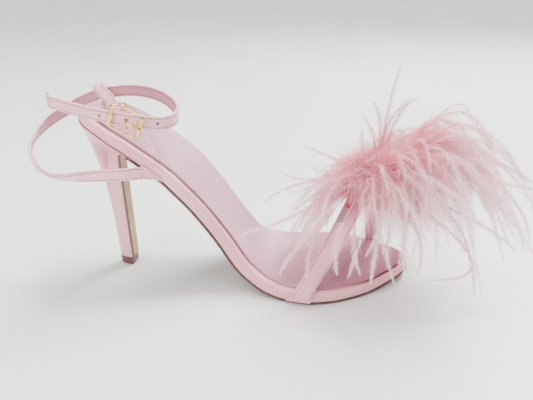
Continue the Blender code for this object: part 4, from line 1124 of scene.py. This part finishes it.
def make_tip_stitches():
    """Three beads across the strap's square end, on its face and on its lining."""
    along, side, out = [rows[-1] for rows in strap_frames(ankle)]
    middle = ankle.path[-1] - along * 1.1 * MM
    rise = out * (ANKLE_STRAP_THICK / 2.0 - STITCH_SINK)
    places = [middle + side * v * MM + rise * w for w in (-1.0, 1.0) for v in (-2.0, 0.0, 2.0)]
    frames = np.tile(np.stack([side, np.cross(out, side), out]), (len(places), 1, 1))
    return beads("ankle_strap_tip_stitches", np.array(places), frames)


def make_loose_end():
    """Curled thread end at the upper corner of the strap's tip."""
    along, side, out = [rows[-1] for rows in strap_frames(ankle)]
    turn = np.linspace(0.0, 4.4, 18)[:, None]
    curl = along * (0.1 + 0.75 * np.sin(turn)) + side * (0.6 - 0.75 * np.cos(turn) + 0.06 * turn)
    corner = ankle.path[-1] + side * (ANKLE_STRAP_WIDTH / 2.0 - 0.3 * MM) - along * 0.6 * MM
    return wire("ankle_strap_thread_end", corner + (curl - out * 0.2) * MM, 0.26 * MM, points=8)


settle(make_tip_stitches(), mauve_thread, "strap")
settle(make_loose_end(), mauve_thread, "strap")


# Buckle strap: the short strap from the inner arch. It comes over the long strap, lies on the
# seat, and loops round the buckle's centre bar.
BUCKLE_STRAP_THICK = 1.4 * MM
BUCKLE_WIRE = 0.9 * MM
BAR_DEPTH = ANKLE_STRAP_THICK / 2.0 + BUCKLE_STRAP_THICK + 2.0 * GAP + BUCKLE_BAR
RING_HEIGHT = ANKLE_STRAP_THICK / 2.0 + GAP + BUCKLE_WIRE

BUCKLE_STRAP_RUN = [
    Fold(0.190, 0.408, 0.762, 0.00, 0.05, 1.00),
    Fold(0.130, 0.425, 0.785, 0.10, 0.08, 1.00),
    Fold(0.070, 0.435, 0.855, 0.30, 0.15, 0.94),
    Fold(0.022, 0.432, 0.960, 0.62, 0.28, 0.60),
    Fold(-0.002, 0.442, 1.045, 0.93, 0.22, 0.28),
    Fold(-0.008, 0.388, 1.113, 0.93, 0.22, 0.30),
    Fold(0.004, 0.330, 1.106, 0.88, 0.28, 0.42),
    Fold(0.034, 0.240, 1.086, 0.76, 0.36, 0.55),
    Fold(0.076, 0.094, 1.076, 0.70, 0.44, 0.56),
    Fold(0.108, -0.045, 1.066, 0.68, 0.48, 0.54),
    Fold(0.132, -0.170, 1.074, 0.58, 0.38, 0.72),
    Fold(0.158, -0.280, 1.076, 0.30, 0.20, 0.92),
]


def bar_loop():
    """End of the strap round the buckle's bar: out below it, half a turn, and back above it."""
    wrap = BUCKLE_BAR + GAP + BUCKLE_STRAP_THICK / 2.0
    rows = [(-8.0 * MM, -0.9 * wrap), (-4.0 * MM, -wrap)]
    turns = np.radians(np.arange(-90, 91, 30))
    rows += [(wrap * math.cos(turn), wrap * math.sin(turn)) for turn in turns]
    rows += [(-3.0 * MM, 0.93 * wrap), (-7.0 * MM, 0.45 * wrap)]
    places = buckle_points([(BAR_OFFSET + along, 0.0, out - BAR_DEPTH) for along, out in rows])
    return places, np.tile(buckle_axes()[2], (len(places), 1))


arch_end = tuck(*ARCH_TUCK_INNER, ANKLE_STRAP_WIDTH, BUCKLE_STRAP_THICK, -1)
short = lay_strap(
    ANKLE_STRAP_WIDTH, BUCKLE_STRAP_THICK, 1.2 * MM, arch_end, fold_points(BUCKLE_STRAP_RUN),
    bar_loop(),
)
short_strap = band("ankle_strap_buckle_band", short, 1)
slot_axis = [
    (BAR_OFFSET + reach * HOOK_RADIUS, 0.0, -BAR_DEPTH) for reach in (0.35, 0.7, 1.4, 2.2)
]
slot_tool = wire(
    "slot_tool", buckle_points(slot_axis), PRONG_WIRE + GAP, 3.4, buckle_axes()[3], points=20
)
punch(short_strap, slot_tool)
settle(short_strap, strap_finish, "strap", "ankle_strap_buckle")
short_stitches = stitch_rows("ankle_strap_buckle_stitches", short, 6.0 * MM, 14.0 * MM)
settle(short_stitches, mauve_thread, "strap")


# Buckle: a small die cast frame plated pale gold, broad at both ends and thin at its sides, with
# a centre bar under the strap and a short prong through its hole.
BUCKLE_LENGTH = 17.6 * MM
BUCKLE_WIDTH = 15.0 * MM
BUCKLE_CORNER = 2.2 * MM
BUCKLE_TURN = math.radians(-19.0)


def gold_finish():
    """Pale gold plate with soft tumbling marks."""
    finish, tree = blank_finish("pale_gold_plate", Metallic=1.0)
    toe_deepening = patches(tree, 320.0, 0.0, 1.0)
    colour = blend(tree, toe_deepening, tone(232, 200, 142), tone(206, 168, 108))
    return cover(finish, colour, (700.0, 0.13, 0.25), patches(tree, 1100.0, 0.0, 1.0), 0.06)


def rounded_loop(half_long, half_wide, corner, corner_points):
    """Points of a rounded rectangle, with even steps on its sides and corners."""
    turn = np.radians(90.0 * np.arange(4)[:, None] + np.linspace(0.0, 90.0, corner_points))
    middles = np.array([(1, 1), (-1, 1), (-1, -1), (1, -1)])
    middles = middles * np.array([half_long - corner, half_wide - corner])
    arcs = middles[:, None] + corner * np.stack([np.cos(turn), np.sin(turn)], -1)
    start, stop = arcs[:, -1:], np.roll(arcs, -1, 0)[:, :1]
    sides = start + (stop - start) * np.linspace(0.0, 1.0, 10)[1:-1, None]
    return np.concatenate([arcs, sides], 1).reshape(-1, 2)


def make_buckle_frame():
    """Frame ring whose bars swell at both ends, turned a little in the strap's face."""
    half_long, half_wide = BUCKLE_LENGTH / 2.0 - BUCKLE_WIRE, BUCKLE_WIDTH / 2.0 - BUCKLE_WIRE
    flat = rounded_loop(half_long, half_wide, BUCKLE_CORNER, 9)
    end = np.clip(np.abs(flat[:, 0]) / half_long, 0.0, 1.0) ** 6
    radius = 0.60 * MM + 0.72 * MM * np.append(end, end[0])
    cos, sin = math.cos(BUCKLE_TURN), math.sin(BUCKLE_TURN)
    flat = flat @ np.array([[cos, sin], [-sin, cos]])
    places = buckle_points(np.insert(flat, 2, RING_HEIGHT, 1))
    return wire("buckle_frame_ring", places, radius, 0.7, buckle_axes()[3], True, 16)


def make_buckle_bar():
    """Centre bar: a round rod dropped below the strap, with its feet in the frame's sides."""
    half = BUCKLE_WIDTH / 2.0 - BUCKLE_WIRE
    bend = 1.3 * MM
    rows = []
    for side in (1.0, -1.0):
        foot = (BAR_OFFSET * math.sin(BUCKLE_TURN) + side * half) / math.cos(BUCKLE_TURN)
        leg = [(foot, RING_HEIGHT), (foot, 0.0), (foot, -BAR_DEPTH + bend)]
        leg.append((foot - side * bend * 0.3, -BAR_DEPTH + bend * 0.3))
        leg.append((foot - side * bend, -BAR_DEPTH))
        rows = rows + leg[:: int(side)]
    places = np.array([(BAR_OFFSET, v, w) for v, w in rows])
    slim = np.array([0.62, 0.62, 0.7, 0.85, 1.0, 1.0, 0.85, 0.7, 0.62, 0.62]) * BUCKLE_BAR
    return wire("buckle_centre_bar", buckle_points(places), slim, 1.0, buckle_axes()[1])


def make_prong():
    """Prong: hooked round the bar, up through the strap, and down on the frame's end."""
    rows = [
        (BAR_OFFSET + HOOK_RADIUS * math.cos(turn), 0.0, HOOK_RADIUS * math.sin(turn) - BAR_DEPTH)
        for turn in np.radians(np.arange(-150, 1, 30))
    ]
    top = RING_HEIGHT + BUCKLE_WIRE + GAP + PRONG_WIRE
    rise = BAR_OFFSET + HOOK_RADIUS
    rest = BUCKLE_LENGTH / 2.0 - BUCKLE_WIRE
    rows.append((rise, 0.0, ANKLE_STRAP_THICK / 2.0))
    slant = math.tan(BUCKLE_TURN)
    for ahead, height in ((0.5, 0.66), (1.3, 0.88), (3.0, 0.98)):
        rows.append((rise + ahead * MM, ahead * slant * MM, top * height))
    rows.append((rest, (rest - rise) * slant, top - 0.15 * MM))
    tip = rest + 0.9 * MM
    rows.append((tip, (tip - rise) * slant, top - 0.45 * MM))
    places = buckle_points(rows)
    across = np.tile(buckle_axes()[2], (len(places), 1))
    path = smooth_path(places, across, 0.4 * MM, 0.3)[0]
    taper = np.interp(np.linspace(0.0, 1.0, len(path)), [0.0, 0.75, 1.0], [1.0, 1.0, 0.62])
    return wire("buckle_prong_pin", path, PRONG_WIRE * taper, 1.0, buckle_axes()[2], points=14)


gold = gold_finish()
settle(make_buckle_frame(), gold, "buckle", "buckle_frame")
settle(make_buckle_bar(), gold, "buckle")
settle(make_prong(), gold, "buckle", "buckle_prong")


# Feather tuft: long pale pink plumes with loose barbs, tied into a deeper pink core and sewn on
# top of the toe strap. They sweep forwards over the toes and hang down at the sides.
CORE_PLACE = np.array([157.0, 1.5, 66.0]) * MM
CORE_SIZE = np.array([17.0, 12.5, 10.5]) * MM
BARB_WIDTH = 0.24 * MM
PLUME_STEPS = 34
LISTED_PITCH = 0.09 * MM
FILL_PITCH = 0.16 * MM
STEM_RADIUS = 0.28 * MM
FILL_PLUMES = 200
DOWN_BARBS = 17000
DOWN_WIDTH = 0.30 * MM
SLOT_FRONT = -10.0 * MM
SLOT_MIDDLE = 142.0 * MM
SLOT_RISE = 0.53
SLOT_DRIFT = 0.04
SLOT_HALF = 6.5 * MM
SLOT_FOOT, SLOT_TOP = 43.0 * MM, 56.0 * MM
UPRIGHT = np.array([0.0, 0.0, 1.0])

Strand = namedtuple("Strand", "mid_x mid_y mid_z tip_x tip_y tip_z fluff")
STRANDS = [
    Strand(161.6, 5.0, 106.0, 166.5, 8.0, 129.0, 3.2),
    Strand(157.4, 2.0, 97.5, 152.8, 0.0, 111.0, 3.4),
    Strand(154.9, 0.0, 89.5, 148.0, -2.0, 103.5, 3.2),
    Strand(149.2, -2.0, 81.2, 147.1, -6.0, 97.5, 3.0),
    Strand(162.4, 8.0, 95.9, 174.5, 14.0, 109.5, 3.4),
    Strand(167.0, 12.0, 97.7, 178.5, 18.0, 108.8, 3.4),
    Strand(198.0, 26.0, 101.5, 211.0, 26.0, 95.0, 1.6),
    Strand(205.0, 14.0, 86.5, 234.0, 14.0, 72.0, 1.8),
    Strand(210.9, 4.0, 66.0, 247.0, 8.0, 60.0, 3.6),
    Strand(217.5, -6.0, 69.8, 243.0, -12.0, 37.4, 2.8),
    Strand(212.9, -14.0, 48.3, 233.0, -20.0, 34.8, 3.0),
    Strand(198.6, -20.0, 52.3, 213.2, -30.0, 11.6, 3.0),
    Strand(207.5, -30.0, 35.5, 185.5, -36.0, 23.6, 2.6),
    Strand(179.6, -26.0, 46.1, 180.6, -32.0, 24.4, 3.2),
    Strand(172.3, -22.0, 54.1, 170.7, -30.0, 30.0, 3.4),
    Strand(157.7, -30.0, 46.5, 156.0, -36.0, 22.6, 3.0),
    Strand(145.5, -30.0, 46.8, 150.0, -36.0, 24.7, 3.2),
    Strand(126.3, -30.0, 46.8, 121.7, -36.0, 16.0, 2.8),
    Strand(124.2, -34.0, 50.7, 106.9, -44.0, 28.2, 3.6),
    Strand(109.8, -22.0, 50.0, 82.5, -20.0, 37.2, 3.2),
    Strand(113.6, -10.0, 65.3, 93.5, -8.0, 51.5, 2.4),
    Strand(114.7, 10.0, 60.5, 101.6, 12.0, 63.8, 2.4),
    Strand(132.4, 2.0, 77.5, 116.3, 0.0, 84.2, 2.0),
    Strand(137.8, -34.0, 49.4, 137.3, -42.0, 28.1, 3.4),
]


def before_tack(points, half=SLOT_HALF):
    """Marks the points in a slot that slants up before the tack, where the feathers part."""
    ahead = SLOT_FRONT - points[..., 1]
    level = points[..., 2] - SLOT_RISE * ahead
    beside = np.abs(points[..., 0] - SLOT_MIDDLE + SLOT_DRIFT * ahead)
    return (ahead > 0.0) & (beside < half) & (level > SLOT_FOOT) & (level < SLOT_TOP)


def core_seats(directions):
    """Places on the core's surface in the given directions."""
    return CORE_PLACE + unit(directions) * CORE_SIZE * 0.8


def bent_paths(base, knee, tip):
    """Quadratic curves from base to tip that bend towards the knee: one path for each row."""
    base, knee, tip = base[:, None], knee[:, None], tip[:, None]
    t = np.linspace(0.0, 1.0, PLUME_STEPS)[:, None]
    return base * (1.0 - t) ** 2 + knee * 2.0 * t * (1.0 - t) + tip * t ** 2


def listed_plumes():
    """Paths through the listed middles to the listed tips, with the length of their barbs."""
    rows = np.array(STRANDS) * MM
    middle, tip, fluff = rows[:, :3], rows[:, 3:6], rows[:, 6]
    base = core_seats(middle - CORE_PLACE)
    return bent_paths(base, 2.0 * middle - (base + tip) / 2.0, tip), fluff


def floor_below(points):
    """Lowest height that a feather may reach: over the sock inside the outline, or the table."""
    share = share_at(points[..., 0])
    inner = np.clip(share, 0.0, 1.0)
    offset = points[..., 1] - centre(inner)
    reach = half_width(inner, offset < 0.0) + 4.0 * MM
    inside = (share > 0.0) & (share < 1.0) & (np.abs(offset) < reach)
    slope = np.interp(share, GRID_SHARE, GRID_SLOPE)
    sock = np.interp(share, GRID_SHARE, GRID_HEIGHT) + 9.5 * MM * np.sqrt(1.0 + slope ** 2)
    return np.where(inside, sock, 2.0 * MM)


def filling_plumes(chance):
    """Plumes all round the core, longest over the toe, with the length of their barbs.

    Each goes out from its seat, over a raised knee, and down to a lower tip that curls to one
    side. A sine wave along it makes it waver.
    """
    ahead_only = chance.uniform(size=FILL_PLUMES) < 0.34
    narrow = chance.normal(0.0, 0.75, FILL_PLUMES)
    turn = np.where(ahead_only, narrow, chance.uniform(-math.pi, math.pi, FILL_PLUMES))
    ahead = np.cos(turn)
    size = chance.uniform(0.42, 1.06, FILL_PLUMES)[:, None]
    reach = (56.0 + 17.0 * ahead)[:, None] * size * MM
    rise = ((10.0 + 19.0 * ahead) * chance.uniform(0.3, 1.4, FILL_PLUMES))[:, None] * MM
    drop = (chance.uniform(2.0, 46.0, FILL_PLUMES) * (1.1 - 0.25 * ahead))[:, None] * size * MM
    level = np.stack([ahead, np.sin(turn) * 0.82, np.zeros(FILL_PLUMES)], 1)
    sideways = np.stack([-level[:, 1], level[:, 0], level[:, 2]], 1)
    base = core_seats(level + UPRIGHT * chance.uniform(-0.25, 0.9, (FILL_PLUMES, 1)))
    curl = sideways * chance.normal(0.0, 0.24, (FILL_PLUMES, 1)) * reach
    knee = base + level * reach * 0.52 - curl + UPRIGHT * (rise + 4.0 * MM) * 1.5
    paths = bent_paths(base, knee, base + level * reach + curl - UPRIGHT * drop)
    t = np.linspace(0.0, 1.0, PLUME_STEPS)[:, None]
    phase = chance.uniform(0.0, 6.3, (FILL_PLUMES, 1, 1))
    paths = paths + sideways[:, None] * np.sin(7.0 * t + phase) * t * 1.3 * MM
    paths[..., 2] = np.maximum(paths[..., 2], floor_below(paths) + 3.5 * MM)
    paths[..., 1] = np.clip(paths[..., 1], -64.0 * MM, 68.0 * MM)
    fluff = chance.uniform(2.4, 5.2, FILL_PLUMES) * MM
    clear = ~before_tack(paths, SLOT_HALF + 1.0 * MM).any(1)
    return paths[clear], fluff[clear]


def ribbons(roots, ways, bends, reach, width, across, rows):
    """Flat tapering barbs: each leaves its root, bends sideways with the square of its length,
    and narrows to its tip. Returns a grid of points for each barb, two across."""
    t = np.linspace(0.0, 1.0, rows)[:, None]
    reach = reach[:, None, None]
    line = roots[:, None] + ways[:, None] * (reach * t) + bends[:, None] * (reach * t ** 2)
    half = across[:, None] * (width[:, None, None] / 2.0) * (1.0 - 0.85 * t)
    return np.stack([line - half, line + half], 2)


def ribbon_mesh(name, strips, tips, shades):
    """Mesh of many ribbons, with marks for how far out they are and for their own shade."""
    index = np.arange(strips[..., 0].size).reshape(strips.shape[:3])
    quads = np.stack([index[:, :-1, 0], index[:, :-1, 1], index[:, 1:, 1], index[:, 1:, 0]], -1)
    return raw_mesh(name, strips, quads.reshape(-1, 4).tolist(), {"tip": tips, "shade": shades})


def plume_barbs(paths, fluff, chance, pitch):
    """Barbs along each plume, set out all round its stem and swept towards its tip.

    They are longest near the core, and shorten over the last part of the plume.
    """
    parts = []
    for path, size in zip(paths, fluff):
        far = lengths_along(path)
        marks = np.arange(2.0 * MM, far[-1], pitch)
        marks = np.clip(marks + chance.uniform(-0.4, 0.4, len(marks)) * pitch, 0.0, far[-1])
        ahead = unit(read_at(marks, far, unit(np.gradient(path, axis=0))))
        side = unit(np.cross(ahead, chance.normal(size=ahead.shape)))
        lean = chance.uniform(0.40, 1.10, (len(marks), 1))
        way = unit(ahead * np.cos(lean) + side * np.sin(lean))
        gone = marks / far[-1]
        reach = size * (1.45 - 0.65 * gone) * np.sqrt(np.clip((1.03 - gone) * 5.0, 0.15, 1.0))
        bend = ahead * 0.34 - UPRIGHT * 0.16
        parts.append((read_at(marks, far, path), way, bend, reach, gone))
    roots, ways, bends, reach, gone = [np.concatenate(part) for part in zip(*parts)]
    reach = reach * chance.uniform(0.5, 1.2, len(roots))
    across = unit(np.cross(ways, chance.normal(size=ways.shape)))
    width = BARB_WIDTH * chance.uniform(0.7, 1.25, len(roots))
    strips = ribbons(roots, ways, bends, reach, width, across, 3)
    shade = chance.uniform(size=(len(roots), 1, 1))
    seen = ~before_tack(strips[:, :, 0]).any(1)
    return strips[seen], gone[seen, None, None], shade[seen]


def plume_stems(name, paths, chance):
    """Stems: each path carries a thin three sided quill that tapers to its tip."""
    tangent = unit(np.gradient(paths, axis=1))
    side = unit(np.cross(tangent, chance.normal(size=(len(paths), 1, 3))))
    other = np.cross(tangent, side)
    turn = (np.arange(3) / 3.0 * 2.0 * math.pi)[:, None]
    ring = side[:, :, None] * np.cos(turn) + other[:, :, None] * np.sin(turn)
    gone = np.linspace(0.0, 1.0, paths.shape[1])[:, None]
    size = STEM_RADIUS * (1.0 - 0.85 * gone) ** 0.8
    points = paths[:, :, None] + ring * size[..., None]
    index, quads = tube_faces(points.shape[:3])
    caps = np.concatenate([index[:, 0, ::-1], index[:, -1]]).tolist()
    return raw_mesh(name, points, quads + caps, {"tip": gone, "shade": 0.8})


def feather_finish():
    """Dyed feather: deep pink at the tied roots, pale pink along the barbs, near white tips."""
    finish, tree = blank_finish("pale_pink_feather", Roughness=0.62)
    ramp = add(tree, "ValToRGB", {"Fac": mark_of(tree, "tip")})
    stops = ramp.color_ramp.elements
    stops[0].color = tone(240, 62, 102)
    stops[1].color = tone(254, 236, 239)
    stops.new(0.14).color = tone(250, 124, 148)
    stops.new(0.42).color = tone(253, 188, 200)
    pale = fade(tree, mark_of(tree, "shade"), 0.0, 1.0, 0.0, 0.32)
    return cover(finish, blend(tree, pale, ramp.outputs["Color"], tone(253, 232, 234)))


def make_core():
    """Tied core: an ellipsoid with lumps from a few waves round it."""
    turn = np.linspace(0.0, 2.0 * math.pi, 61)
    rise = np.linspace(-math.pi / 2.0, math.pi / 2.0, 31)[:, None]
    waves = 0.06 * np.sin(7.0 * turn + 3.0 * rise) + 0.04 * np.sin(13.0 * turn - 9.0 * rise)
    girth = np.cos(rise) * (1.0 + waves * np.cos(rise))
    ball = np.stack([girth * np.cos(turn), girth * np.sin(turn), np.sin(rise) + 0.0 * turn], -1)
    return skin("feather_core", CORE_PLACE + ball * CORE_SIZE * 0.86, {"tip": 0.0, "shade": 0.0})


def down_barbs(chance):
    """Short barbs from all over the core, swept forwards and down."""
    way = unit(chance.normal(size=(DOWN_BARBS, 3)) + np.array([0.30, 0.0, 0.10]))
    roots = core_seats(way) + chance.normal(size=way.shape) * 0.8 * MM
    lean = unit(way + chance.normal(size=way.shape) * 0.42)
    reach = chance.uniform(6.0, 25.0, DOWN_BARBS) * (1.0 + 0.45 * np.maximum(way[:, 0], 0.0)) * MM
    reach = np.where(way[:, 2] < -0.55, reach * 0.35, reach)
    bends = np.array([0.20, 0.0, -0.34]) + chance.normal(size=way.shape) * 0.16
    across = unit(np.cross(lean, chance.normal(size=way.shape)))
    strips = ribbons(roots, lean, bends, reach, np.full(DOWN_BARBS, DOWN_WIDTH), across, 5)
    strips[..., 2] = np.maximum(strips[..., 2], floor_below(strips) + 1.0 * MM)
    gone = np.linspace(0.02, 0.6, 5)[:, None]
    shade = chance.uniform(size=(DOWN_BARBS, 1, 1))
    seen = ~before_tack(strips[:, :, 0]).any(1)
    return strips[seen], gone, shade[seen]


chance = np.random.default_rng(11)
feather = feather_finish()
long_paths, long_fluff = listed_plumes()
fill_paths, fill_fluff = filling_plumes(chance)
plumes = ribbon_mesh("feather_plumes", *plume_barbs(long_paths, long_fluff, chance, LISTED_PITCH))
settle(plumes, feather, "feather", "feather_pompom")
for part in range(3):
    made = plume_barbs(fill_paths[part::3], fill_fluff[part::3], chance, FILL_PITCH)
    settle(ribbon_mesh(f"feather_plumes_fill_{part + 1}", *made), feather, "feather")
stems = plume_stems("feather_stems", np.concatenate([long_paths, fill_paths]), chance)
settle(stems, feather, "feather")
settle(ribbon_mesh("feather_down", *down_barbs(chance)), feather, "feather")
settle(make_core(), feather, "feather")
